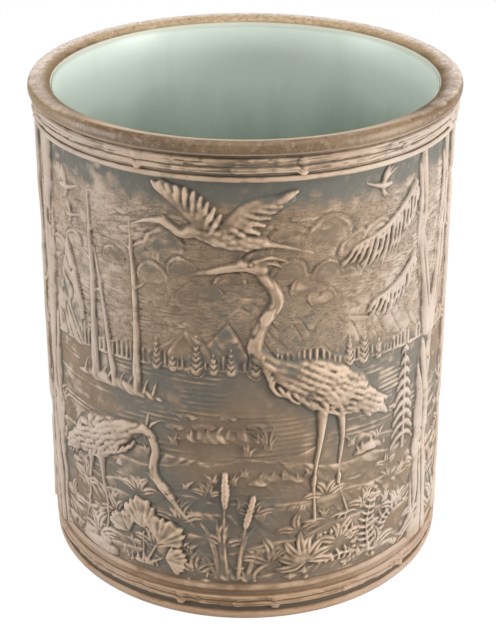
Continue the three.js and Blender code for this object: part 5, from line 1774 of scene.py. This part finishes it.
# Studio. A white floor that keeps a faint shadow, a white world, two soft lamps at the sides, one above and
# a weaker one in front, and the camera at the photograph's place.

FLOOR_HALF = 4.0
CAMERA_PLACE = (0.0015, -0.8810, 0.5828)
CAMERA_TILT = 63.57
CAMERA_LENS = 86.49
WORLD_LIGHT = 0.24
LAMP_AIM = (0, 0, 0.16)
LAMPS = {
    "left_lamp": {"place": (-1.57, -0.25, 0.36), "size": 0.8, "power": 17},
    "right_lamp": {"place": (1.53, -0.45, 0.36), "size": 0.8, "power": 26},
    "top_lamp": {"place": (0.1, -0.45, 1.85), "size": 1.4, "power": 22},
    "front_lamp": {"place": (1.0, -1.5, 1.2), "size": 0.9, "power": 1.0},
}


def seen_or_reflected(tree):
    """1 for rays that come from the camera or from a reflection, and 0 for the rest."""
    path = node(tree, "LightPath").outputs
    return arithmetic(tree, "MAXIMUM", path["Is Camera Ray"], path["Is Glossy Ray"])


floor_material, tree, shader = new_material("white_floor")
shader.inputs["Base Color"].default_value = (0.6, 0.6, 0.6, 1)
shader.inputs["Roughness"].default_value = 1.0
white = node(tree, "Emission", {"Color": (1, 1, 1, 1), "Strength": 1.07})
shown = node(tree, "MixShader", {0: 0.9, 1: shader.outputs[0], 2: white.outputs[0]}).outputs[0]
floor_shader = node(tree, "MixShader", {0: seen_or_reflected(tree), 1: shader.outputs[0], 2: shown})
tree.links.new(floor_shader.outputs[0], tree.nodes["Material Output"].inputs["Surface"])
corners = np.array([(-1, -1, 0), (1, -1, 0), (1, 1, 0), (-1, 1, 0)]) * FLOOR_HALF
floor = laid_mesh("floor", corners, [np.array([[0, 1, 2, 3]])], floor_material)
floor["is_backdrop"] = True

world = bpy.data.worlds.new("studio")
bpy.context.scene.world = world
world.use_nodes = True
tree = world.node_tree
tree.nodes.clear()
plain = node(tree, "Background", {"Color": (1, 1, 1, 1), "Strength": WORLD_LIGHT})
white = node(tree, "Background", {"Color": (1, 1, 1, 1), "Strength": 1.0})
seen = node(tree, "LightPath").outputs["Is Camera Ray"]
either = node(tree, "MixShader", {0: seen, 1: plain.outputs[0], 2: white.outputs[0]})
node(tree, "OutputWorld", {"Surface": either.outputs[0]})

for name, values in LAMPS.items():
    lamp = bpy.data.lights.new(name, "AREA")
    lamp.shape, lamp.size, lamp.energy = "DISK", values["size"], values["power"]
    held = bpy.data.objects.new(name, lamp)
    bpy.context.scene.collection.objects.link(held)
    held.location = values["place"]
    x, y, z = np.array(LAMP_AIM) - values["place"]
    held.rotation_euler = (math.atan2(math.hypot(x, y), -z), 0, math.atan2(y, x) - math.pi / 2)

camera = bpy.data.objects.new("camera", bpy.data.cameras.new("camera"))
bpy.context.scene.collection.objects.link(camera)
camera.location = CAMERA_PLACE
camera.rotation_euler = (math.radians(CAMERA_TILT), 0, 0)
camera.data.lens = CAMERA_LENS
bpy.context.scene.camera = camera
bpy.context.scene.view_settings.view_transform = "Standard"

low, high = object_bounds()
